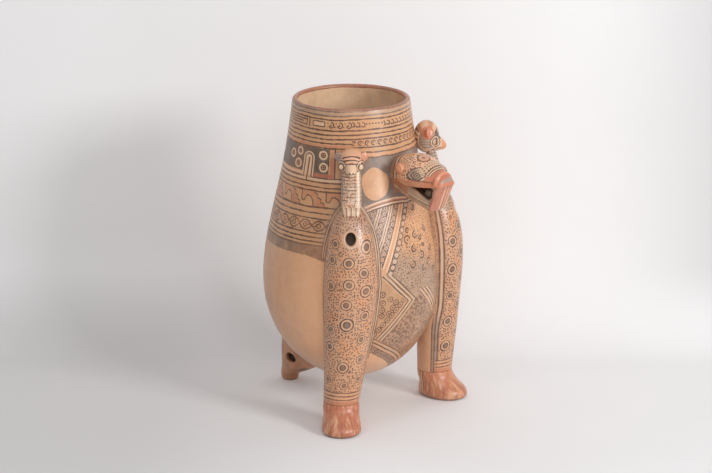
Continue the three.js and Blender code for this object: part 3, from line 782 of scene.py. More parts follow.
def cat_eye(side):
    """A low swelling under each painted eye."""
    low, high, half_width = skull_at(EYE_REACH)
    up = (EYE_HEIGHT - (low + high) / 2) / ((high - low) / 2)
    aside = half_width * (1 - abs(up) ** SKULL_POWER) ** (1 / SKULL_POWER)
    centre = Vector((side * (aside - 1.0), -EYE_REACH, EYE_HEIGHT))
    return ball(centre, (1.5, 10.5, 6))


def nose_crest():
    """The raised ridge that runs over the nose from side to side."""
    low, high, half_width = skull_at(CREST_REACH)
    middle, tall = (low + high) / 2, (high - low) / 2

    def place(angle, radius, height):
        t = lerp(-1, 1, height) * 1.15
        size = 2.6 * math.cos(t * 0.8) ** 0.5
        out = Vector((math.sin(t), 0, math.cos(t)))
        point = Vector((half_width * out.x, -CREST_REACH, middle + tall * out.z))
        point += out * (size * 0.8 * radius * math.sin(angle))
        point.y += size * radius * math.cos(angle)
        return point

    return shaped(20, 24, place)


def head_mesh():
    form = head_form(skull_at, HEAD_ROOT, NOSE, SKULL_POWER)
    whole = pressed_together([form, cat_eye(RIGHT), cat_eye(LEFT), nose_crest()], 0.8, 2)
    above = [(distance, height + 0.1) for distance, height in PARTING]
    return opened(whole, above + [(150, 330), (-10, 330)])


def jaw_mesh():
    form = head_form(jaw_at, HEAD_ROOT, JAW_FRONT, JAW_POWER)
    whole = pressed_together([form], 0.8, 4)
    below = [(distance, height - 0.1) for distance, height in PARTING]
    return opened(whole, [(-10, 100), (150, 100)] + below[::-1])


def ear_mesh(side):
    low, high, half_width = skull_at(EAR_REACH)
    up = (EAR_HEIGHT - (low + high) / 2) / ((high - low) / 2)
    aside = half_width * math.sqrt(max(0, 1 - up * up))
    centre = Vector((side * (aside + 1.5), -EAR_REACH, EAR_HEIGHT + 1.2))
    lump = ball(centre, (4.6, 5.6, 5.0), 28)
    rim = hoop(centre + Vector((side * 2.4, -1, 0)), -BACK, UP, 3.6, 1.1)
    return pressed_together([lump, rim], 0.5, 3)


# The loose pellets


def pellet_mesh(centre, radius, seed):
    mesh = ball(centre, (radius, radius, radius), 36)
    for point in mesh.verts:
        away = point.co - centre
        lump = noise.noise(away * 0.22 + Vector((seed, 0, 0)))
        point.co = centre + away * (0.975 + 0.02 * lump)
    return mesh


# Paint, reckoned as values over the surface


def worked(operation, *first):
    """One way of reckoning with a field, by an operation of the Math node."""
    return lambda self, *others: self.calc(operation, *first, *others)


class Field:
    """A value that changes over a surface, and can be reckoned with like a number."""

    def __init__(self, tree, socket):
        self.tree = tree
        self.socket = socket

    def calc(self, operation, *others):
        node = self.tree.nodes.new("ShaderNodeMath")
        node.operation = operation
        for socket, value in zip(node.inputs, (self, *others)):
            feed(self.tree, socket, value)
        return Field(self.tree, node.outputs[0])

    __add__ = __radd__ = worked("ADD")
    __sub__ = worked("SUBTRACT")
    __rsub__ = worked("MULTIPLY_ADD", -1)
    __mul__ = __rmul__ = worked("MULTIPLY")
    __truediv__ = worked("DIVIDE")
    __abs__ = worked("ABSOLUTE")
    # Masks are fields from 0 to 1, so these stand for and, or, and not.
    __and__ = worked("MULTIPLY")
    __or__ = at_least = worked("MAXIMUM")
    __invert__ = worked("MULTIPLY_ADD", -1, 1)
    near = worked("COMPARE")
    below = worked("LESS_THAN")
    above = worked("GREATER_THAN")
    sine = worked("SINE")
    root = worked("SQRT")

    def within(self, low, high):
        return self.near((low + high) / 2, (high - low) / 2)

    def repeated(self, period):
        """The distance from the nearest multiple of a period, with its sign."""
        return self.calc("WRAP", period / 2, -period / 2)

    def ramp(self, low, high):
        """0 below one value, 1 above the other, and smooth between."""
        node = self.tree.nodes.new("ShaderNodeMapRange")
        node.interpolation_type = "SMOOTHSTEP"
        feed(self.tree, node.inputs["Value"], self)
        node.inputs["From Min"].default_value = low
        node.inputs["From Max"].default_value = high
        return Field(self.tree, node.outputs["Result"])


def feed(tree, socket, value):
    if isinstance(value, Field):
        tree.links.new(value.socket, socket)
    else:
        socket.default_value = value


def vector_calc(tree, operation, *values):
    node = tree.nodes.new("ShaderNodeVectorMath")
    node.operation = operation
    for socket, value in zip(node.inputs, values):
        feed(tree, socket, value)
    out = "Value" if operation in ("DISTANCE", "LENGTH", "DOT_PRODUCT") else "Vector"
    return Field(tree, node.outputs[out])


def joined(x, y, z=0.0):
    node = x.tree.nodes.new("ShaderNodeCombineXYZ")
    for socket, value in zip(node.inputs, (x, y, z)):
        feed(x.tree, socket, value)
    return Field(x.tree, node.outputs[0])


def parted(vector):
    node = vector.tree.nodes.new("ShaderNodeSeparateXYZ")
    feed(vector.tree, node.inputs[0], vector)
    return [Field(vector.tree, out) for out in node.outputs]


def apart(point, centre):
    return vector_calc(point.tree, "DISTANCE", point, (*centre, 0.0)[:3])


def measured(point, way):
    """How far a place lies along a direction."""
    return vector_calc(point.tree, "DOT_PRODUCT", point, tuple(way))


def grain_noise(vector, scale, detail=2.0, rough=0.5):
    node = vector.tree.nodes.new("ShaderNodeTexNoise")
    feed(vector.tree, node.inputs["Vector"], vector)
    node.inputs["Scale"].default_value = scale
    node.inputs["Detail"].default_value = detail
    node.inputs["Roughness"].default_value = rough
    return Field(vector.tree, node.outputs["Fac"])


def cells(vector, scale, spread=1.0, flat=True):
    node = vector.tree.nodes.new("ShaderNodeTexVoronoi")
    node.voronoi_dimensions = "2D" if flat else "3D"
    feed(vector.tree, node.inputs["Vector"], vector)
    node.inputs["Scale"].default_value = scale
    node.inputs["Randomness"].default_value = spread
    return Field(vector.tree, node.outputs["Distance"])


def tinted(under, over, mask):
    node = mask.tree.nodes.new("ShaderNodeMix")
    node.data_type = "RGBA"
    feed(mask.tree, node.inputs[0], mask)
    feed(mask.tree, node.inputs[6], under)
    feed(mask.tree, node.inputs[7], over)
    return Field(mask.tree, node.outputs[2])


def new_group(name, inputs, outputs):
    tree = bpy.data.node_groups.new(name, "ShaderNodeTree")
    for label, kind in inputs:
        tree.interface.new_socket(label, in_out="INPUT", socket_type=kind)
    for label, kind in outputs:
        tree.interface.new_socket(label, in_out="OUTPUT", socket_type=kind)
    entry = tree.nodes.new("NodeGroupInput")
    leave = tree.nodes.new("NodeGroupOutput")
    return tree, [Field(tree, out) for out in entry.outputs[: len(inputs)]], leave


def placed(tree, group, *values):
    node = tree.nodes.new("ShaderNodeGroup")
    node.node_tree = group
    for socket, value in zip(node.inputs, values):
        feed(tree, socket, value)
    return [Field(tree, out) for out in node.outputs]


VALUE = "NodeSocketFloat"
VECTOR = "NodeSocketVector"
COLOUR = "NodeSocketColor"


def hand_tremor_group():
    """How far a painter's hand strays at a place, along, up and in the width of the stroke."""
    tree, (place,), leave = new_group(
        "hand_tremor", [("Place", VECTOR)], [("Along", VALUE), ("Up", VALUE), ("Width", VALUE)]
    )
    slow = grain_noise(place, 0.045, 1.0)
    other = grain_noise(vector_calc(tree, "ADD", place, (71.0, 13.0, 5.0)), 0.06, 1.0)
    quick = grain_noise(place, 0.32, 1.0)
    width = grain_noise(vector_calc(tree, "ADD", place, (3.0, 91.0, 17.0)), 0.22, 2.0)
    feed(tree, leave.inputs[0], (slow - 0.5) * 3.2 + (quick - 0.5) * 0.6)
    feed(tree, leave.inputs[1], (other - 0.5) * 3.2 + (quick - 0.5) * 0.6)
    feed(tree, leave.inputs[2], width.ramp(0.25, 0.75) * 0.75 + 0.55)
    return tree


def fired_clay_group():
    """Firing clouds, rubbed slip, grit and burnishing over any painted colour."""
    tree, (place, colour, haze), leave = new_group(
        "fired_clay",
        [("Place", VECTOR), ("Colour", COLOUR), ("Haze", VALUE)],
        [("Colour", COLOUR), ("Roughness", VALUE), ("Height", VALUE)],
    )
    clouds = grain_noise(place, 0.018, 3.0, 0.55)
    mottle = grain_noise(place, 0.085, 4.0, 0.62)
    grit = grain_noise(place, 0.9, 3.0, 0.7)
    streak_place = vector_calc(tree, "MULTIPLY", place, (0.5, 0.5, 2.6))
    strokes = grain_noise(streak_place, 0.16, 3.0, 0.6)
    warm = tinted(colour, slip(232, 150, 92), clouds.ramp(0.42, 0.8) * 0.2)
    smoky = tinted(warm, HAZE, (mottle.ramp(0.5, 0.8) * 0.4 + 0.12) * haze)
    rubbed = tinted(smoky, slip(238, 208, 172), mottle.ramp(0.62, 0.34) * 0.1)
    pits = cells(place, 0.42, flat=False)
    specks = pits.below(0.13) & grit.above(0.5)
    pitted = tinted(rubbed, slip(92, 70, 56), specks * 0.45)
    shaded = tinted(pitted, slip(70, 48, 38), grit.ramp(0.52, 0.9) * 0.28)
    feed(tree, leave.inputs[0], shaded)
    feed(tree, leave.inputs[1], 0.15 + mottle * 0.17 + grit * 0.1 + strokes * 0.1)
    height = strokes * 0.35 + grit * 0.16 + mottle * 0.5 - specks * 0.35
    feed(tree, leave.inputs[2], height)
    return tree


def rosette_group():
    """A painted spot: a dark ring, a pale ground and a heart, round a centre."""
    tree, (point, centre, radius, width), leave = new_group(
        "painted_rosette",
        [("Point", VECTOR), ("Centre", VECTOR), ("Radius", VALUE), ("Width", VALUE)],
        [("Ring", VALUE), ("Ground", VALUE), ("Heart", VALUE)],
    )
    distance = vector_calc(tree, "DISTANCE", point, centre) / radius
    ring = distance.near(0.9, width * 0.11) | distance.near(0.44, width * 0.085)
    feed(tree, leave.inputs[0], ring)
    feed(tree, leave.inputs[1], distance.below(1.14))
    feed(tree, leave.inputs[2], distance.below(0.44))
    return tree


TREMOR = hand_tremor_group()
FIRED = fired_clay_group()
ROSETTE = rosette_group()


class Coat:
    """The paint on one kind of piece, laid on one layer after another."""

    def __init__(self, name, ground):
        self.material = bpy.data.materials.new(name)
        self.material.use_nodes = True
        self.tree = self.material.node_tree
        self.tree.nodes.clear()
        self.colour = ground
        where = self.tree.nodes.new("ShaderNodeTexCoord")
        local = Field(self.tree, where.outputs["Object"])
        self.place = vector_calc(
            self.tree,
            "MULTIPLY_ADD",
            local,
            (1000.0, 1000.0, 1000.0),
            (-1000 * AXIS_X, -1000 * AXIS_Y, 0.0),
        )
        self.x, self.y, self.z = parted(self.place)
        self.along, self.up, self.width = placed(self.tree, TREMOR, self.place)
        patchy = grain_noise(self.place, 0.14, 3.0, 0.65)
        self.patchy = patchy.ramp(0.15, 0.5) * 0.3 + 0.7

    def noted(self, name, output):
        """A value that was noted on the points of the piece."""
        node = self.tree.nodes.new("ShaderNodeAttribute")
        node.attribute_name = name
        return Field(self.tree, node.outputs[output])

    def patches(self, scale, low, high, detail=2.0, rough=0.5):
        return grain_noise(self.place, scale, detail, rough).ramp(low, high)

    def lay(self, colour, mask, strength=1.0):
        cover = mask & self.patchy
        if strength != 1:
            cover = cover * strength
        self.colour = tinted(self.colour, colour, cover)

    def fire(self, haze, bump=0.35):
        colour, rough, height = placed(self.tree, FIRED, self.place, self.colour, haze)
        lump = self.tree.nodes.new("ShaderNodeBump")
        lump.inputs["Strength"].default_value = bump
        lump.inputs["Distance"].default_value = 0.001
        feed(self.tree, lump.inputs["Height"], height)
        shader = self.tree.nodes.new("ShaderNodeBsdfPrincipled")
        feed(self.tree, shader.inputs["Base Color"], colour)
        feed(self.tree, shader.inputs["Roughness"], rough)
        self.tree.links.new(lump.outputs[0], shader.inputs["Normal"])
        shader.inputs["Specular IOR Level"].default_value = 0.65
        out = self.tree.nodes.new("ShaderNodeOutputMaterial")
        self.tree.links.new(shader.outputs[0], out.inputs[0])
        return self.material


def any_line(value, places, pen, half=0.85):
    """Painted lines wherever a value passes one of the places."""
    reach = pen * half
    mask = value.near(places[0], reach)
    for place in places[1:]:
        mask = mask | value.near(place, reach)
    return mask


def beside(point, start, end):
    """How far a place lies to the left of the line from one point to another."""
    run = (Vector(end) - Vector(start)).normalized()
    away = measured(point, (-run.y, run.x, 0.0))
    return away - (run.x * start[1] - run.y * start[0])


def curl(point, centre, radius, half, gap):
    """A painted C, open where the gap's direction points."""
    distance = apart(point, centre)
    mouth = (centre[0] + gap[0] * radius, centre[1] + gap[1] * radius)
    return distance.near(radius, half) & apart(point, mouth).above(radius * 0.75)


def eyed_ring(point, centre, radius, pen, dot=0.34):
    """A painted ring with a dot in it."""
    distance = apart(point, centre)
    return distance.near(radius, pen * 0.5) | distance.below(radius * dot)


def speckle(coat, p, zone, density, colour, strength, size=0.24):
    """Small brushed dots, sparser in some places than in others."""
    spots = cells(p, density, 0.78)
    worn = grain_noise(p, 0.09, 2.0)
    coat.lay(colour, spots.below(size + (worn - 0.5) * 0.3) & zone, strength)


# Where the front panel ends, in degrees of turn, and where the plain buff and the bands meet.
FLANK_EDGE = 45.5
BUFF_TOP = 172
BANDS_FOOT = 181


def jar_coat():
    coat = Coat("painted_jar", BUFF)
    turn = coat.x.calc("ARCTAN2", -1 * coat.y).calc("DEGREES") + coat.along * 0.3
    z = coat.z + coat.up * 0.4
    spread = abs(turn)
    flank_turn = 119 - abs(119 - spread)
    flank = spread.above(FLANK_EDGE)
    front = ~flank
    pen = coat.width
    level = z - spread.ramp(62, 28) * 1.2
    paint_ground(coat, z, spread, flank)
    coat.lay(BROWN, any_line(level, NECK_LINES, pen, 0.78))
    paint_flank(coat, z, flank_turn, flank, pen)
    paint_front(coat, z, turn, spread, front, pen)
    paint_leg_borders(coat, z, spread, pen)
    paint_lip(coat)
    return coat.fire(0.34)


def paint_ground(coat, z, spread, flank):
    coat.lay(WARM_BUFF, coat.patches(0.03, 0.4, 0.75), 0.6)
    # Painted light: the plain buff is painted brighter on the flanks beside the front legs, where
    # the legs would shade it.
    coat.lay(slip(244, 186, 140), spread.ramp(100, 66) & z.below(BUFF_TOP), 0.9)
    # Painted shade: the plain buff is painted darker on the flanks towards the back, which turn
    # away from the light.
    coat.lay(slip(190, 148, 120), spread.ramp(96, 122) & z.below(BUFF_TOP), 0.5)
    coat.lay(BAND, z.above(BANDS_FOOT))
    coat.lay(HAZE, z.ramp(90, 30), 0.35)
    coat.lay(ORANGE, z.within(273, 276.6) & flank, 0.9)
    coat.lay(RED, z.within(273, 275.4) & flank & spread.below(100), 0.45)
    coat.lay(ORANGE, z.within(264.6, 268.6) & ~flank, 0.7)


NECK_LINES = (307.4, 303.2, 299.5, 289.2, 285, 281)
FLANK_LINES = (277, 272.4, 243.7, 239.6, 235, 231.3)
FLANK_LOW_LINES = (216.2, 210.8, 205.6, 192.2, 188.1, 184.1)
FRONT_LINES = (274, 269.2, 264.4)


def paint_flank(coat, z, s, flank, pen):
    coat.lay(BROWN, any_line(z, FLANK_LINES + FLANK_LOW_LINES, pen, 0.8) & flank)
    paint_top_glyphs(coat, z, s, flank, pen)
    paint_panel(coat, z, s, flank)
    paint_frets(coat, z, s, flank, pen)
    paint_guilloche(coat, z, s, flank, pen)
    slip_edge = 170.5 - (78 - s).at_least(0.0) * 0.32
    band = (z - slip_edge).above(0) & z.below(BANDS_FOOT) & flank
    coat.lay(slip(142, 106, 80), band)
    worn = coat.patches(0.16, 0.5, 0.66, 3.0, 0.6)
    coat.lay(slip(176, 132, 100), band & worn, 0.75)
    coat.lay(DARK, z.near(180.6, 0.8) & flank, 0.7)


def paint_top_glyphs(coat, z, s, flank, pen):
    row = z.within(290.8, 298.6) & flank
    long_box = s.above(91.3) & (any_line(z, (292.3, 297), pen, 0.6) | s.near(91.8, 0.5))
    bar = s.above(97) & z.near(294.7, pen * 0.55)
    divider = s.near(88.6, 0.5)
    coat.lay(BROWN, (long_box | bar | divider) & row)
    edge_s = abs(s - 78) * 1.05 - 6.6
    edge_z = abs(z - 294.8) - 2.3
    edge = edge_s.calc("SMOOTH_MAX", edge_z, 1.6)
    closed = s.within(70, 85) & row
    coat.lay(CREAM, edge.below(-0.4) & closed, 0.7)
    coat.lay(BROWN, edge.near(0, pen * 0.55) & closed)
    hooks = joined((s * 1.06).repeated(8.6), z - 294.6)
    swirl = curl(hooks, (0, 0), 2.5, 0.62, (0.8, 0.55)) | apart(hooks, (0.6, -0.3)).below(0.95)
    tail = apart(hooks, (3.9, 1.7)).below(0.75) | apart(hooks, (-3.7, -1.8)).below(0.7)
    coat.lay(BROWN, (swirl | tail) & row & s.below(69.5))


# Turn, height and radius of each ring on the dark panel.
PANEL_CIRCLES = (
    (96.7, 266.2, 4.1), (97.6, 254.6, 4.5), (71.3, 265.4, 4.5),
    (70.5, 254, 4.5), (106.5, 262, 4.4),
)


def paint_panel(coat, z, s, flank):
    tall = z.within(244, 271.6) & flank
    coat.lay(UMBER, tall & s.above(65.8))
    coat.lay(ORANGE, tall & s.within(60.5, 65.8))
    coat.lay(RED, tall & s.within(61, 64.6) & z.below(264), 0.8)
    coat.lay(DARK, tall & (s.near(60.4, 0.55) | (s.near(65.8, 0.4) & z.above(255))))
    coat.lay(RED, z.within(244.4, 248) & s.within(61, 79) & flank, 0.9)
    p = joined(s * 1.1, z)
    for place, height, radius in PANEL_CIRCLES:
        distance = apart(p, (place * 1.1, height))
        coat.lay(ORANGE, distance.below(radius) & tall, 0.8)
        coat.lay(CREAM, distance.near(radius - 0.8, 0.85) & tall)
        coat.lay(DARK, (distance.near(radius - 2.3, 0.5) | distance.below(0.9)) & tall)
    w = s - 85.4
    rise = (z - 261).at_least(0.0) * 0.9
    hood = (w * w + rise * rise).root()
    lift = z - 248.8
    foot = z.within(240.4, 248.6)
    coat.lay(ORANGE, foot & s.above(91) & z.above(244.6) & flank)
    coat.lay(CREAM, foot & s.above(89.6) & z.near(246.4, 0.8) & flank)
    stem = hood.below(5.9) & z.above(244) & flank
    coat.lay(ORANGE, stem)
    coat.lay(CREAM, (hood.near(5.2, 0.7) | hood.within(0.9, 3.3)) & z.above(244) & flank)
    coat.lay(CREAM, z.within(240.6, 243) & flank, 0.8)
    coat.lay(BROWN, hood.near(4, 0.55) & z.above(243.4) & flank)
    coat.lay(BAND, hood.below(3.4) & z.within(242.6, 245) & flank)
    coat.lay(BROWN, abs(w + lift * 0.06).below(0.62) & z.within(240, 261.5) & flank)


def paint_frets(coat, z, s, flank, pen):
    """Hooked waves, each with a red body under a flight of steps."""
    row = z.within(216.6, 230.6) & flank
    u = ((88.7 - s) * 1.2).calc("WRAP", 26.4, 0.0)
    p = joined(u, z)
    line = pen * 0.62
    bowl = apart(p, (2.85, 223.8))
    crest = apart(p, (8.0, 223.9))
    slope = apart(joined((u - 8) / 6.4, (z - 216.5) / 10.2), (0, 0))
    first, middle, last = u.below(5.2), u.within(5.2, 8), u.above(8)
    tongue = first & (bowl.below(2.35) | z.above(223.8)) & u.above(0.5)
    body = tongue | (middle & crest.above(2.8) & z.above(223.9)) | (last & slope.above(1))

    def flight(start):
        """The height of a flight of steps that starts at a place along the row."""
        step = ((u - start) / 3.55).calc("FLOOR")
        return 230 - step * 4.4 - (u - start - step * 3.55) * 0.45

    treads, risers = flight(14.6), flight(15.2)
    under = (z - treads).below(0)
    coat.lay(RED, body & under & row, 0.55)
    coat.lay(ORANGE, body & under & row & u.below(12), 0.4)
    stairs = (z - treads).above(-0.55) & (z - risers).below(0.55)
    coat.lay(BROWN, stairs & u.above(13.6) & row)
    hook = first & bowl.near(2.35, line) & z.below(224)
    hook = hook | (middle & crest.near(2.8, line) & z.above(223.4))
    hook = hook | (last & slope.near(1, line / 7.5)) | (u.near(0.6, line) & z.above(223.6))
    coat.lay(BROWN, hook & row)


def paint_guilloche(coat, z, s, flank, pen):
    """A double scroll of crossing waves with eyes in its loops."""
    row = z.within(193.4, 204.6) & flank
    lift = z - 199
    wave = (s * 0.29).sine() * 4.6
    clear = abs(lift) - abs(wave)
    ridge = (s * 0.58).sine() * 2.2
    coat.lay(slip(200, 140, 100), clear.below(0) & row, 0.6)
    lines = (lift - wave).near(0, pen * 0.75) | (lift + wave).near(0, pen * 0.75)
    lines = lines | (lift - wave * 0.5 - ridge).near(0, pen * 0.55)
    coat.lay(BROWN, lines & row)
    eye = joined((s - 5.42).repeated(10.83) * 1.3, lift)
    coat.lay(BROWN, eyed_ring(eye, (0, 0), 2.1, pen, 0.3) & row)
    dots = cells(joined(s * 1.3, z), 0.42, 0.7).below(0.22)
    coat.lay(BROWN, dots & row & clear.above(0.6), 0.8)


OVAL_TURN = 26.5
OVAL_HEIGHT = 239.4


def paint_front(coat, z, turn, spread, front, pen):
    coat.lay(BROWN, any_line(z, FRONT_LINES, pen, 0.75) & front)
    paint_front_glyphs(coat, z, turn, front)
    aside = spread - 12
    rope = z - 223.8 + aside * aside * 0.0105
    coat.lay(slip(120, 102, 92), z.below(263.8) & rope.above(0) & front)
    p = joined((spread - OVAL_TURN) / 11.4, (z - OVAL_HEIGHT) / 15)
    wobble = (grain_noise(coat.place, 0.07, 1.0) - 0.5) * 0.3
    oval = (apart(p, (0, 0)) + wobble) & front
    disc = oval.below(1) & oval.above(0.001)
    coat.lay(slip(214, 160, 116), disc)
    coat.lay(slip(200, 146, 108), disc & coat.patches(0.13, 0.48, 0.66, 3.0, 0.6), 0.6)
    paint_belly(coat, z, turn, front & rope.below(0), pen)
    band = rope.within(-6.6, 0.6) & front & z.above(200)
    coat.lay(slip(176, 108, 82), band)
    coat.lay(CREAM, (rope.near(-0.3, 0.85) | rope.near(-4.2, 0.8)) & band)
    coat.lay(BROWN, (rope.near(-2.9, 0.4) | rope.near(-5.8, 0.7)) & band)


def paint_front_glyphs(coat, z, turn, front):
    upper = z.within(291.4, 299.4) & front
    u = turn * 1.03
    p = joined(u.repeated(5.2), z - 295.4)
    hooks = curl(p, (0, 0), 1.9, 0.6, (-0.8, 0.4)) | apart(p, (2.4, -2.0)).below(0.7)
    coat.lay(BROWN, hooks & upper & abs(turn + 24).above(9))
    dots = joined((u + 1).repeated(3.2), z - 295.4)
    coat.lay(BROWN, apart(dots, (0, 0.6)).below(0.9) & upper & abs(turn + 24).below(9))
    lower = z.within(275, 281.2) & front
    q = joined((u + 2).repeated(6.2), z - 278)
    curls = curl(q, (0, 0), 1.9, 0.6, (0.8, -0.4)) | apart(q, (0.2, 0)).below(0.6)
    bars = (u + 2).repeated(6.2).above(2.6) & (z + u * 0.5).repeated(2.6).near(0, 0.4)
    coat.lay(BROWN, (curls | bars) & lower)


# Turn, height, radius and which way each curl of the belly opens.
BELLY_CURLS = (
    (-4.5, 182.5, 3.7, 0.6, -0.6), (3.6, 185.5, 3.0, 0.8, 0.3), (8.4, 181.6, 2.4, -0.3, 0.8),
    (0.4, 172.6, 2.8, 0.7, 0.5), (-2, 158, 3.0, -0.5, 0.7), (8, 164.6, 3.2, -0.8, 0.1),
    (11, 174, 1.8, 0.2, 0.8), (15, 155.4, 3.0, 0.5, -0.7), (8.2, 152, 2.2, 0.8, 0.2),
    (6, 211, 2.4, -0.6, 0.6), (-3.6, 191.5, 2.2, 0.7, -0.3), (19, 168, 2.6, -0.7, 0.5),
    (16, 188, 2.6, 0.6, 0.5), (21, 146, 2.6, 0.4, -0.7),
)
# Turn and height.
TRIANGLE_RINGS = (
    (-26.2, 133.7), (-25.9, 125), (-26.2, 118), (-26.4, 112),
    (-20.9, 128.3), (-19, 119.4), (-21.6, 113.6), (-16.8, 124.4),
)
CHEVRON = (-6.0, 123.5)
PEAK = (7.0, 127.5)


def paint_belly(coat, z, turn, zone, pen):
    """Fanned strips of rings, a dotted field, chevrons and a leaf full of fine scrolls."""
    u = turn * 1.5
    p = joined(u, z)
    low = z - 58 + turn * 0.8
    panel = zone & low.above(0)
    across = beside(p, (0, 218), (-42.26, 127.37))
    upper = beside(p, CHEVRON, (-26.85, 144.6)) * -1
    lower = beside(p, CHEVRON, (-43, 82))
    roof = beside(p, (28, 107), PEAK) * -1
    field = panel & across.above(-4.4) & upper.above(0)
    coat.lay(FIELD, panel)
    coat.lay(slip(224, 166, 118), field & z.above(150), 0.6)
    coat.lay(slip(168, 136, 112), field & (z + u * 0.4).ramp(182, 152), 0.9)
    speckle(coat, p, field & (roof.above(11) | z.above(130)), 0.35, BROWN, 0.85)
    for place, height, radius, gap_x, gap_y in BELLY_CURLS:
        centre = (place * 1.5, height)
        coat.lay(FIELD, apart(p, centre).below(radius) & panel, 0.8)
        coat.lay(DARK, curl(p, centre, radius, 0.75, (gap_x, gap_y)) & panel)
        inner = (centre[0] + gap_x * 0.5, centre[1] + gap_y * 0.5)
        coat.lay(DARK, apart(p, inner).below(1.1) & panel, 0.8)
    paint_fan(coat, p, across, panel & upper.above(2), pen)
    paint_chevrons(coat, p, upper, lower, panel, pen)
    paint_leaf(coat, p, upper, lower, roof, panel, pen)
    paint_low_border(coat, turn, low, zone, pen)


def paint_fan(coat, p, across, panel, pen):
    along = measured(p, (-0.4226, -0.9063, 0.0))
    fan = panel & across.below(-4)
    coat.lay(slip(196, 154, 126), fan)
    chain = joined((across + 13.6).repeated(12.3), along.repeated(5.9))
    coat.lay(BROWN, eyed_ring(chain, (0, 0), 2.5, pen, 0.3) & fan)
    border = abs((across + 19.75).repeated(12.3))
    coat.lay(slip(208, 172, 142), border.below(2.3) & fan)
    coat.lay(BROWN, (border.near(2.7, pen * 0.5) | border.near(0, pen * 0.4)) & fan)
    thick = abs(across + 7.3)
    coat.lay(ORANGE, thick.below(3.6) & panel)
    coat.lay(CREAM, thick.near(2.2, 0.8) & panel)
    coat.lay(BROWN, thick.near(3.7, pen * 0.55) & panel)
    beads = joined(across + 0.3, (along + 2).repeated(6.2))
    coat.lay(slip(200, 164, 140), apart(beads, (0, 0)).below(2.8) & panel & across.below(3))
    coat.lay(BROWN, apart(beads, (0, 0)).near(2.8, pen * 0.5) & panel & across.below(3))


def paint_chevrons(coat, p, upper, lower, panel, pen):
    """Nested chevrons that point away from the near leg, with rings inside them."""
    depth = upper | lower
    _, z, _ = parted(p)
    zone = panel & z.below(152)
    inside = depth.below(-5.5) & zone
    coat.lay(slip(184, 138, 98), inside)
    for place, height in TRIANGLE_RINGS:
        coat.lay(BROWN, eyed_ring(p, (place * 1.5, height), 2.6, pen) & inside)
    along = measured(p, (-0.665, -0.747, 0.0))
    chain = joined(along.repeated(6.4), lower + 9.2)
    coat.lay(BROWN, eyed_ring(chain, (0, 0), 2.7, pen) & zone & upper.below(-5))
    coat.lay(slip(176, 138, 108), depth.within(-4.6, 4.6) & zone)
    coat.lay(slip(206, 170, 138), any_line(depth, (2.1, -1.8), pen, 0.72) & zone)
    coat.lay(BROWN, any_line(depth, (3.8, 0.2, -3.6), pen, 0.62) & zone)


def paint_leaf(coat, p, upper, lower, roof, panel, pen):
    u, z, _ = parted(p)
    inside = panel & lower.above(4) & roof.below(0) & upper.below(60) & z.below(128)
    coat.lay(slip(170, 130, 102), inside)
    astray = joined(grain_noise(p, 0.12, 1.0) * 9, grain_noise(p, 0.1, 1.0) * 9)
    scroll = cells(vector_calc(coat.tree, "ADD", p, astray), 0.125, 0.8)
    coat.lay(BROWN, (scroll * 13).sine().above(0.25) & inside, 0.72)
    stripes = panel & roof.within(-1, 12) & u.above(5) & z.below(132)
    coat.lay(slip(206, 158, 122), stripes)
    pale = roof.near(2.2, 0.7) | roof.near(5.2, 0.7) | roof.near(9, 0.8)
    coat.lay(slip(208, 172, 140), pale & stripes)
    coat.lay(BROWN, any_line(roof, (0, 3.8, 7.2, 10.8), pen, 0.6) & stripes)


def paint_low_border(coat, turn, low, zone, pen):
    band = low.within(-6, 6) & zone
    coat.lay(slip(186, 134, 98), band)
    coat.lay(slip(206, 168, 136), any_line(low, (2.6, -1.8), pen, 0.7) & band)
    coat.lay(BROWN, any_line(low, (4.8, 0.4, -4.2), pen, 0.6) & band)
    rings = joined((turn * 1.7).repeated(5), low + 8.2)
    left = zone & turn.below(6)
    coat.lay(slip(170, 134, 112), low.within(-11.5, -5) & left, 0.8)
    coat.lay(BROWN, eyed_ring(rings, (0, 0), 2.2, pen) & left)
    coat.lay(BROWN, low.near(-11.8, pen * 0.6) & left)


def paint_leg_borders(coat, z, spread, pen):
    """Fine pale and dark lines that follow each leg's edge."""
    rise = (z - 170).at_least(0.0) / 46
    fall = (143 - z).at_least(0.0)
    aside = abs(spread - 46.8 - fall * 0.032) / (16.3 - fall * 0.03)
    edge = (aside * aside + rise * rise).root()
    zone = z.within(64, 222) & (z.above(170) | spread.below(46.8))
    coat.lay(slip(150, 118, 96), edge.below(1.2) & zone, 0.9)
    coat.lay(slip(204, 168, 138), (edge.near(1.07, 0.022) | edge.near(1.16, 0.022)) & zone)
    coat.lay(BROWN, any_line(edge, (1.025, 1.115, 1.205), pen * 0.03, 0.6) & zone)
    coat.lay(HAZE, edge.within(1.18, 1.34) & z.within(184, 222), 0.3)


def paint_lip(coat):
    """The plain inside and the red line round the lip."""
    inside = coat.noted("wall_depth", "Fac").above(2.4)
    coat.lay(INSIDE, inside)
    coat.lay(slip(206, 166, 130), coat.patches(0.05, 0.45, 0.7, 3.0, 0.6) & inside, 0.6)
    wavy = coat.z + coat.up * 0.6
    lip = wavy.above(308.5) | (wavy.above(306.4) & inside)
    coat.lay(slip(150, 92, 70), lip, 0.95)
    coat.lay(slip(176, 94, 68), lip & coat.patches(0.06, 0.5, 0.64), 0.7)
    # A painted sheen: a grey band on the outside just below the lip.
    coat.lay(HAZE, wavy.within(303, 308.6) & ~inside, 0.4)


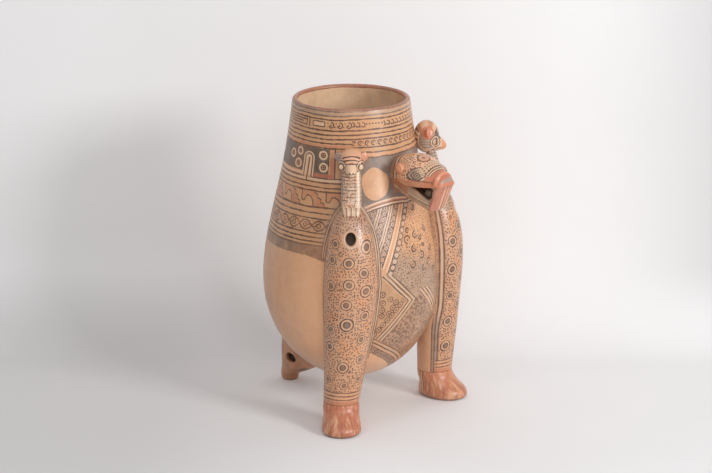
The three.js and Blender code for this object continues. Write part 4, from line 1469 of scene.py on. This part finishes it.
# The place round the leg in degrees, the height and the radius of each painted spot.
NEAR_ROSETTES = (
    (43, 187, 6.8), (-4, 173, 5.8), (30, 163, 5.5), (-47, 175, 5.2), (-46, 150, 5.6),
    (-4, 152, 5.8), (34, 145, 6.4), (-8, 132, 5.6), (38, 120, 5.2), (-3, 112, 6.8),
    (-42, 106, 4.6), (38, 96, 4.8), (-45, 88, 5.4), (43, 75, 4.6), (-3, 68, 6.2),
    (-49, 54, 4.4), (48, 55, 4.2), (6, 49, 4.4), (-42, 190, 4.8),
)
FAR_ROSETTES = (
    (-61, 168, 6.0), (-64, 140, 6.4), (-68, 84, 6.0), (-70, 57, 6.2), (-66, 112, 5.0),
    (-30, 181, 5.6), (-28, 155, 6.2), (-30, 127, 5.6), (-34, 101, 6.0), (-30, 70, 5.6),
    (-28, 48, 4.6), (6, 172, 6.4), (8, 146, 6.6), (5, 118, 6.0), (2, 90, 5.8),
    (8, 62, 5.4), (42, 186, 6.6), (44, 160, 6.2), (43, 132, 5.8), (41, 106, 5.4),
    (44, 80, 5.0), (46, 54, 4.4),
)


# The height of the uppermost ring round the ankle.
ANKLE_RING = 41


def leg_coat(side, word):
    coat = Coat(f"spotted_{word}_leg", LEG_SLIP)
    across, out, size = parted(coat.noted("wrap", "Vector"))
    angle = across.calc("ARCTAN2", out)
    degrees = angle.calc("DEGREES")
    u = angle * size + coat.along * 0.3
    z = coat.z + coat.up * 0.3
    p = joined(u, z)
    pen = coat.width
    edge = degrees * -side
    if side == LEFT:
        edge = edge - z.ramp(106, 72) * 9
    seam = 80 if side == RIGHT else 88
    painted = z.above(ANKLE_RING)
    coat.lay(slip(212, 144, 98), coat.patches(0.045, 0.42, 0.68), 0.7)
    coat.lay(slip(208, 172, 144), coat.patches(0.07, 0.55, 0.75), 0.5)
    coat.lay(HAZE, z.above(198) & abs(degrees).below(140), 0.45)
    speckle(coat, p, edge.within(-80, seam - 2) & painted, 0.36, slip(76, 42, 30), 1.0, 0.27)
    paint_rosettes(coat, p, NEAR_ROSETTES if side == RIGHT else FAR_ROSETTES, pen)
    coat.lay(BUFF, edge.above(seam) | edge.below(-88))
    if side == LEFT:
        belly_side = edge.above(seam + 10) & z.above(84)
        coat.lay(FIELD, belly_side)
        speckle(coat, p, belly_side, 0.36, BROWN, 0.8)
    coat.lay(slip(166, 126, 100), edge.within(seam - 6, seam + 14) & painted, 0.8)
    coat.lay(slip(214, 176, 144), edge.near(seam + 4, 2.6) & painted)
    coat.lay(BROWN, any_line(edge, (seam - 2, seam + 10), pen, 1.8) & painted)
    back = degrees * side
    coat.lay(slip(142, 112, 92), back.within(76, 100), 0.75)
    coat.lay(BROWN, any_line(back, (76, 92), pen, 1.7), 0.8)
    if side == LEFT:
        inner = z.ramp(96, 76)
        coat.lay(BUFF, edge.above(98) & inner)
        coat.lay(slip(132, 106, 92), edge.within(86, 104) & inner, 0.75)
        coat.lay(BROWN, any_line(edge, (87, 96, 105), pen, 1.9) & inner, 0.9)
    ringed = edge.within(-96, 92)
    coat.lay(slip(214, 156, 116), z.within(30, ANKLE_RING + 0.5) & ringed, 0.7)
    coat.lay(BROWN, any_line(z, (ANKLE_RING, 37.4, 33.6), pen, 0.7) & ringed)
    coat.lay(slip(186, 110, 80), z.below(32) & ringed, 0.7)
    distance, turn, _, half_depth = leg_at(VENT_HEIGHT)
    # A painted highlight: a pale patch round the vent.
    rim = apart(coat.place, polar(side * turn, distance + half_depth, VENT_HEIGHT))
    coat.lay(slip(206, 166, 136), rim.below(8.6), 0.9)
    # Painted light: the inner walls seen through the vent are painted pale, as if lit.
    inside = (across * across + out * out).below(0.74)
    coat.lay(slip(206, 198, 170), inside)
    return coat.fire(0.5)


def paint_rosettes(coat, p, spots, pen):
    for turn, height, radius in spots:
        _, _, half_width, half_depth = leg_at(height)
        centre = (math.radians(turn) * (half_width + half_depth) / 2, height, 0.0)
        ring, ground, heart = placed(coat.tree, ROSETTE, p, centre, radius, pen)
        coat.lay(slip(208, 158, 122), ground)
        coat.lay(slip(104, 76, 62), heart, 0.9)
        coat.lay(slip(68, 42, 32), ring)


def foot_coat(side, word):
    near = side == RIGHT
    coat = Coat(f"streaked_{word}_foot", slip(184, 106, 74) if near else slip(184, 112, 78))
    ankle = polar(side * ANKLE_TURN, ANKLE_RADIUS, 0)
    heading = foot_heading(side)
    offset = vector_calc(coat.tree, "SUBTRACT", coat.place, tuple(ankle))
    ahead = measured(offset, outward(heading))
    aside = measured(offset, sideways(heading))
    around = aside.calc("ARCTAN2", ahead + 6)
    streaks = grain_noise(joined(around * 5.2, coat.z * 0.05), 1.0, 3.0, 0.6)
    coat.lay(slip(222, 162, 124), streaks.ramp(0.5, 0.64), 0.8)
    coat.lay(slip(168, 82, 58), streaks.ramp(0.46, 0.34), 0.75)
    fine = grain_noise(joined(around * 16.0, coat.z * 0.12), 1.0, 2.0)
    coat.lay(slip(232, 190, 154), fine.ramp(0.56, 0.7), 0.6)
    coat.lay(slip(150, 78, 58), fine.ramp(0.42, 0.32), 0.5)
    heel = abs(around).above(2.1) if near else (around * -side).above(1.5)
    coat.lay(BUFF, heel)
    if not near:
        coat.lay(BROWN, any_line(around * -side, (1.5, 1.72), coat.width, 0.035), 0.85)
    coat.lay(slip(112, 70, 52), coat.z.below(2.4), 0.7)
    toes = around.repeated(0.3).near(0, 0.02) & coat.z.below(15) & abs(around).below(0.8)
    coat.lay(BROWN, toes, 0.35)
    coat.lay(slip(150, 112, 92), coat.z.ramp(6, 0), 0.5)
    return coat.fire(0.25)


def arm_coat(side, word):
    coat = Coat(f"striped_{word}_arm", slip(216, 178, 150))
    turn = side * ARM_TURN
    across = measured(coat.place, sideways(turn))
    z = coat.z + coat.up * 0.5
    pen = coat.width
    p = joined(across, z)
    coat.lay(ORANGE, coat.patches(0.09, 0.44, 0.6) & abs(across).below(6), 0.8)
    coat.lay(slip(170, 146, 128), (across * side).above(2.5) & coat.patches(0.12, 0.4, 0.6), 0.7)
    rows = z.repeated(3.1).near(0, pen * 0.5)
    broken = grain_noise(coat.place, 0.35, 1.0).above(0.42)
    coat.lay(BROWN, rows & broken & z.above(227), 0.95)
    columns = any_line(across, (-8, 3.6, 7.4), pen, 0.35) & z.above(226)
    coat.lay(BROWN, columns, 0.6)
    speckle(coat, p, z.above(223), 0.42, BROWN, 0.8)
    coat.lay(HAZE, abs(across).above(8.2), 0.6)
    coat.lay(slip(150, 100, 76), z.within(221, 226) & abs(across).below(3), 0.5)
    # A painted highlight: a pale streak down one edge of the arm.
    coat.lay(slip(230, 200, 170), across.within(4.8, 8.2), 0.6)
    coat.lay(slip(226, 194, 162), z.below(223.5), 0.8)
    gaps = across.repeated(4.5).near(0, 0.6) & z.below(223)
    coat.lay(slip(104, 78, 62), gaps, 0.9)
    coat.lay(HAZE, abs(across).above(7.6) & z.below(223), 0.5)
    return coat.fire(0.55)


def small_head_coat(side, word):
    coat = Coat(f"small_{word}_head", slip(224, 182, 152))
    turn = side * ARM_TURN
    middle = head_place(side)
    tall = HEAD_TALL[side] / 2
    offset = vector_calc(coat.tree, "SUBTRACT", coat.place, tuple(middle))
    ahead = measured(offset, outward(turn))
    aside = measured(offset, sideways(turn))
    above = (coat.z - middle.z) / tall
    pen = coat.width
    cap = above + aside * aside * 0.0025 + coat.up * 0.02
    near = side == RIGHT
    crown = slip(228, 168, 130) if near else slip(244, 208, 174)
    coat.lay(crown, cap.above(0.04) & abs(aside).below(10))
    coat.lay(slip(216, 160, 122), cap.above(0.6), 0.7)
    coat.lay(BROWN, any_line(cap, (0.06, 0.32, 0.56), pen, 0.055) & abs(aside).below(8.6))
    coat.lay(slip(150, 132, 120), abs(aside).above(9.4), 0.8)
    rows = (above * 9).repeated(1.6).near(0, pen * 0.24)
    coat.lay(BROWN, rows & abs(aside).above(9.6), 0.6)
    eye = joined(abs(aside) - 9, ahead - 7.6, (above + 0.2) * tall)
    eye_distance = vector_calc(coat.tree, "LENGTH", eye)
    coat.lay(CREAM, eye_distance.below(6))
    coat.lay(BROWN, any_line(eye_distance, (5.8, 3.7), pen, 0.5) | eye_distance.below(2.1))
    # A pale patch on the snout, partly the snout's own colour and partly a painted highlight.
    coat.lay(slip(230, 194, 158), ahead.above(13) & abs(aside).below(4), 0.8)
    mouth = (above + 0.74 - ahead * 0.008).near(0, 0.035) & ahead.above(9)
    coat.lay(DARK, mouth, 0.9)
    nostril = apart(joined(abs(aside) - 1.5, above * tall + 6.6), (0, 0))
    coat.lay(DARK, nostril.below(0.7) & ahead.above(16))
    knob = vector_calc(coat.tree, "LENGTH", joined(abs(aside) - 12, ahead, (above - 0.4) * tall))
    if near:
        coat.lay(slip(216, 140, 108), knob.below(5.6) & (aside * -side).above(9), 0.9)
    else:
        rays = (ahead.calc("ARCTAN2", above * tall) * 7).sine().above(0.35)
        coat.lay(slip(168, 112, 82), rays & above.above(0.3) & knob.above(6.4), 0.7)
        coat.lay(slip(198, 112, 80), knob.below(6.8), 0.9)
        coat.lay(slip(208, 128, 94), knob.below(4.4))
        coat.lay(DARK, eye_distance.within(6, 9.6) & above.above(-0.1) & ahead.above(7), 0.85)
        coat.lay(slip(216, 142, 100), ahead.above(14.5))
    coat.lay(slip(120, 98, 84), above.below(-0.84), 0.8)
    return coat.fire(0.5)


# Painted shade in and round the open mouth, and half its width.
MOUTH_SHADE = slip(84, 70, 60)
MOUTH_SHADE_REACH = 11.4


def head_coat():
    coat = Coat("painted_cat_head", slip(240, 182, 144))
    y, z = coat.y + coat.along * 0.25, coat.z + coat.up * 0.25
    x = coat.x
    pen = coat.width
    crown = z.above(247) & y.within(-112, -76)
    coat.lay(slip(236, 196, 164), crown & coat.patches(0.07, 0.45, 0.6), 0.7)
    speckle(coat, joined(y, z * 0.8 - abs(x) * 0.8), crown, 0.38, BROWN, 0.95, 0.27)
    coat.lay(slip(190, 122, 84), z.below(246), 0.8)
    # Measured from the middle of the eye.
    back, lift = y + 103, z - 252.6
    slant = joined(back * 0.95 - lift * 0.14, lift * 1.62 + back * 0.2)
    eye_x, eye_z, _ = parted(slant)
    eye = apart(slant, (0, 0)) * 0.5 + (abs(eye_x) + abs(eye_z)) * 0.42
    cheek = abs(x).above(8)
    coat.lay(slip(190, 160, 138), eye.below(11.6) & cheek)
    coat.lay(BROWN, any_line(eye, (10.8, 6.6), pen, 0.8) & cheek)
    coat.lay(slip(196, 166, 142), eye.below(5.6) & cheek, 0.9)
    coat.lay(DARK, (eye.near(3.4, 0.6) | eye.below(1.2)) & cheek)
    crown_ring = apart(coat.place, (-3.7, -98.2, 266.4))
    coat.lay(slip(212, 152, 116), crown_ring.below(6.4))
    coat.lay(BROWN, crown_ring.near(6, pen * 0.8) | crown_ring.below(1.8), 0.9)
    run = y + (z - 255) * 0.35
    bridge = z.above(252.4)
    rungs = joined(x.repeated(2.6), run.repeated(2.6))
    ladder = run.within(-110, -102) & z.above(255) & crown_ring.above(7)
    coat.lay(slip(214, 176, 142), ladder)
    coat.lay(BROWN, apart(rungs, (0, 0)).below(0.75) & ladder, 0.9)
    coat.lay(CREAM, run.within(-115, -110) & bridge)
    coat.lay(BROWN, any_line(run, (-110.2, -112.4, -114.8), pen, 0.6) & bridge)
    coat.lay(slip(196, 112, 82), run.below(-115) & z.above(245))
    coat.lay(slip(200, 128, 90), z.within(239, 248) & y.below(-92), 0.9)
    coat.lay(slip(196, 112, 82), z.within(239, 252.4) & y.below(-110), 0.9)
    coat.lay(slip(222, 150, 112), run.near(-121, 1.2) & z.above(250), 0.6)
    coat.lay(slip(156, 142, 130), y.below(-124.6) & z.within(246.6, 250.6), 0.9)
    cheek_line = (z - 247.6 - (y + 104) * 0.04).near(0, pen * 0.6)
    coat.lay(BROWN, cheek_line & y.within(-118, -90) & cheek, 0.8)
    # Painted shade in and round the open mouth, on the skull's side of the parting.
    painted_mouth_shade = abs(x).below(MOUTH_SHADE_REACH) & z.below(242.6) & y.within(-119, -88)
    coat.lay(MOUTH_SHADE, painted_mouth_shade, 0.95)
    base = y - (z - 245) * 0.12
    coat.lay(slip(176, 128, 98), base.above(-76))
    coat.lay(slip(232, 200, 170), base.near(-72, 1.3))
    coat.lay(BROWN, any_line(base, (-74, -69.8), pen, 0.7), 0.9)
    return coat.fire(0.35)


def jaw_coat():
    coat = Coat("painted_jaw", slip(172, 110, 78))
    y, z = coat.y + coat.along * 0.2, coat.z + coat.up * 0.2
    x = coat.x
    pen = coat.width
    slope = z - 229.4 - (y + 84) * 0.36
    lip = y.within(-118, -70)
    coat.lay(slip(168, 144, 120), slope.above(4) & y.within(-121, -90), 0.8)
    # Painted shade in and round the open mouth, on the jaw's side of the parting.
    painted_mouth_shade = abs(x).below(MOUTH_SHADE_REACH) & y.within(-117, -90) & z.above(229)
    coat.lay(MOUTH_SHADE, painted_mouth_shade, 0.95)
    coat.lay(CREAM, (slope - 6.4).near(0, 0.7) & y.within(-112, -90), 0.6)
    coat.lay(CREAM, slope.within(0.4, 3.8) & lip)
    coat.lay(BROWN, any_line(slope, (0, 2.1, 4.2), pen, 0.55) & lip)
    plate = (y + (z - 217) * 0.28 + 111.5).below(0)
    coat.lay(slip(172, 97, 72), plate)
    streaks = grain_noise(joined(x * 0.5, z * 0.03), 1.0, 2.0).ramp(0.5, 0.62)
    coat.lay(slip(198, 124, 94), streaks & plate, 0.7)
    stripes = x.near(0.6, 0.8) | x.near(5, 0.5) | x.near(8.6, 0.7)
    coat.lay(slip(228, 184, 152), stripes & plate, 0.9)
    coat.lay(slip(120, 66, 52), abs(x).above(11.6) & plate, 0.7)
    coat.lay(slip(150, 84, 64), z.above(238.5) & plate, 0.4)
    return coat.fire(0.4)


def ear_coat(_, word):
    coat = Coat(f"{word}_ear_slip", slip(206, 128, 88))
    coat.lay(slip(224, 164, 122), coat.patches(0.06, 0.42, 0.68, 3.0, 0.6), 0.8)
    return coat.fire(0.4)


def rear_coat():
    coat = Coat("plain_rear_leg", slip(178, 120, 84))
    coat.lay(slip(150, 96, 66), coat.patches(0.06, 0.45, 0.65, 3.0), 0.7)
    # Painted shade: the inside of the hollow hind leg is painted dark.
    hollow = (coat.y - 72).near(0, 16) & abs(coat.x).below(9.5) & coat.z.within(14, 80)
    coat.lay(slip(70, 58, 48), hollow, 0.9)
    coat.lay(slip(150, 112, 92), coat.z.ramp(6, 0), 0.4)
    return coat.fire(0.35)


def pellet_coat():
    coat = Coat("bare_clay_pellet", RAW)
    coat.lay(slip(104, 92, 80), coat.patches(0.3, 0.4, 0.7, 3.0), 0.7)
    return coat.fire(0.3, 0.8)


def note_wall(piece):
    """How far each point of the jar lies inside the outline of its wall."""
    depth = piece.data.attributes.new("wall_depth", "FLOAT", "POINT")
    back = INTO_FRAME.inverted()
    values = []
    for vertex in piece.data.vertices:
        point = back @ vertex.co
        fall = (point.z - BELLY_HEIGHT) / (BELLY_HEIGHT - JAR_BOTTOM)
        across = math.hypot(point.x, point.y)
        if point.z < BELLY_HEIGHT:
            values.append(BELLY_RADIUS * (1 - math.hypot(across / BELLY_RADIUS, fall)))
        else:
            values.append(jar_radius(min(point.z, JAR_HEIGHT)) - across)
    depth.data.foreach_set("value", values)


# What each side has: its name, its form, its paint, its slot and its solid.
PAIRED = (
    ("leg", leg_mesh, leg_coat, "spotted_slip", "front_leg"),
    ("foot", foot_mesh, foot_coat, "red_slip", "front_foot"),
    ("arm", arm_mesh, arm_coat, "striped_slip", "arm"),
    ("small_head", small_head_mesh, small_head_coat, "striped_slip", "figure_head"),
    ("ear", ear_mesh, ear_coat, "red_slip", "ear"),
)


def build_jar():
    note_wall(fired("jar", jar_mesh(), jar_coat(), "vessel_body"))
    fired("hind_leg", rear_mesh(), rear_coat(), "rear_leg")
    clay = pellet_coat()
    for side, word in SIDES:
        for name, form, paint, slot, node in PAIRED:
            piece = fired(f"{word}_{name}", form(side), paint(side, word), f"{node}_{word}")
            if name == "leg":
                note_wrap(piece, side)
        rattle = f"{word}_leg_rattle"
        fired_pellet(rattle, f"leg_pellet_{word}", rattle, clay, side + 2)
    fired("great_head", head_mesh(), head_coat(), "cat_head")
    fired("great_jaw", jaw_mesh(), jaw_coat(), "lower_jaw")
    fired_pellet("head_rattle_ball", "head_pellet", "head_rattle", clay, 5)
    fired_pellet("hind_leg_rattle_ball", "rear_leg_pellet", "rear_leg_rattle", clay, 7)


def fired_pellet(name, node, body, clay, seed):
    low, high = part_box(node)
    centre = INTO_FRAME.inverted() @ ((low + high) / 2)
    radius = 500 * (high.z - low.z)
    fired(name, pellet_mesh(centre, radius, seed), clay, node, body)


# The stage

CAMERA_PLACE = (-1749.4, -1665.1, 873.2)
CAMERA_LOOK = Vector((0.6966, 0.6605, -0.2802))
LENS = 129.26


def build_camera():
    data = bpy.data.cameras.new("camera")
    data.sensor_fit = "HORIZONTAL"
    data.sensor_width = 36
    data.lens = LENS
    data.clip_end = 50
    camera = linked("camera", data)
    camera.location = INTO_FRAME @ Vector(CAMERA_PLACE)
    camera.rotation_euler = CAMERA_LOOK.to_track_quat("-Z", "Y").to_euler()
    bpy.context.scene.camera = camera


# The paper sheet, in metres: where it starts to bend, the bend's radius, and its reach.
SWEEP_START = 0.12
SWEEP_BEND = 0.11
SWEEP_STEPS = 24
SHEET_FRONT = -4
SHEET_TOP = 5
SHEET_HALF = 6


def build_floor():
    """A pale sheet that lies flat under the jar and curves up close behind it."""
    mesh = bmesh.new()
    profile = [(SHEET_FRONT, 0), (SWEEP_START, 0)]
    for i in range(1, SWEEP_STEPS + 1):
        t = math.pi / 2 * i / SWEEP_STEPS
        y, z = SWEEP_BEND * math.sin(t), SWEEP_BEND * math.cos(t)
        profile.append((SWEEP_START + y, SWEEP_BEND - z))
    profile.append((SWEEP_START + SWEEP_BEND, SHEET_TOP))
    line = [mesh.verts.new((-SHEET_HALF, y, z)) for y, z in profile]
    edges = [mesh.edges.new(pair) for pair in zip(line, line[1:])]
    grown = bmesh.ops.extrude_edge_only(mesh, edges=edges)
    moved = [v for v in grown["geom"] if isinstance(v, bmesh.types.BMVert)]
    bmesh.ops.translate(mesh, verts=moved, vec=(2 * SHEET_HALF, 0, 0))
    heading = math.atan2(CAMERA_LOOK.y, CAMERA_LOOK.x) - math.pi / 2
    bmesh.ops.rotate(mesh, verts=mesh.verts[:], matrix=Matrix.Rotation(heading, 3, "Z"))
    mesh.normal_update()
    bmesh.ops.reverse_faces(mesh, faces=[face for face in mesh.faces if face.normal.z < -0.001])
    upright = [face for face in mesh.faces if abs(face.normal.z) <= 0.001]
    ahead = Vector((CAMERA_LOOK.x, CAMERA_LOOK.y, 0))
    bmesh.ops.reverse_faces(mesh, faces=[face for face in upright if face.normal.dot(ahead) > 0])
    data = smoothed(as_data("paper_sweep", mesh))
    data.materials.append(paper())
    linked("paper_sweep", data)


def paper():
    """Pale paper, with painted shade: grey painted up to the right on the upright part, where the
    light falls off, and a painted shadow on the floor at the left.
    """
    material = bpy.data.materials.new("pale_paper")
    material.use_nodes = True
    tree = material.node_tree
    shader = tree.nodes["Principled BSDF"]
    where = Field(tree, tree.nodes.new("ShaderNodeTexCoord").outputs["Object"])
    fibre = grain_noise(where, 3.0, 3.0)
    plain = tinted(slip(238, 237, 237), slip(242, 241, 241), fibre.ramp(0.3, 0.7))
    aside = measured(where, from_camera(1, 0, 0))
    _, _, height = parted(where)
    wall = height.ramp(0, 0.08)
    # Painted shade: the upright part is painted grey towards the right, where the light falls off.
    painted_falloff_on_wall = tinted(plain, slip(198, 196, 197), aside.ramp(0.2, 0.5) & wall)
    # Painted shadow: the floor is painted darker at the left of the jar.
    colour = tinted(painted_falloff_on_wall, slip(214, 212, 212), aside.ramp(0.02, -0.24) & ~wall)
    feed(tree, shader.inputs["Base Color"], colour)
    shader.inputs["Roughness"].default_value = 0.9
    shader.inputs["Specular IOR Level"].default_value = 0.2
    # From behind, the sheet doesn't hide the jar.
    behind = tree.nodes.new("ShaderNodeNewGeometry")
    clear = tree.nodes.new("ShaderNodeBsdfTransparent")
    either = tree.nodes.new("ShaderNodeMixShader")
    tree.links.new(behind.outputs["Backfacing"], either.inputs[0])
    tree.links.new(shader.outputs[0], either.inputs[1])
    tree.links.new(clear.outputs[0], either.inputs[2])
    tree.links.new(either.outputs[0], tree.nodes["Material Output"].inputs[0])
    return material


def soft_light(name, place, aim, size, power):
    data = bpy.data.lights.new(name, "AREA")
    data.shape = "RECTANGLE"
    data.size = data.size_y = size
    data.energy = power
    lamp = linked(name, data)
    lamp.location = place
    lamp.rotation_euler = (Vector(aim) - Vector(place)).to_track_quat("-Z", "Y").to_euler()


def from_camera(right, back, up):
    """A place given to the camera's right, towards the camera and up from the jar, in metres."""
    ahead = Vector((CAMERA_LOOK.x, CAMERA_LOOK.y, 0)).normalized()
    aside = Vector((ahead.y, -ahead.x, 0))
    return aside * right - ahead * back + UP * up


# Name, place and size in metres, and power in watts.
LAMPS = (
    ("key", (1.8, 1.51, 0.98), 0.6, 30),
    ("front", (0.28, 2.2, 1.4), 0.9, 11),
    ("overhead", (0.1, 0.6, 1.9), 1.4, 2.5),
)


def build_lights():
    world = bpy.data.worlds.new("studio")
    bpy.context.scene.world = world
    world.use_nodes = True
    sky = world.node_tree.nodes["Background"]
    sky.inputs["Color"].default_value = (0.99, 0.99, 1, 1)
    sky.inputs["Strength"].default_value = 0.38
    for name, place, size, power in LAMPS:
        soft_light(name, from_camera(*place), (0, 0, 0.15), size, power)
    soft_light("wash", from_camera(-0.9, 1.0, 1.5), from_camera(-0.15, -0.2, 0.45), 0.5, 1.8)


bpy.context.scene.view_settings.view_transform = "Standard"
build_camera()
build_floor()
build_lights()
build_jar()
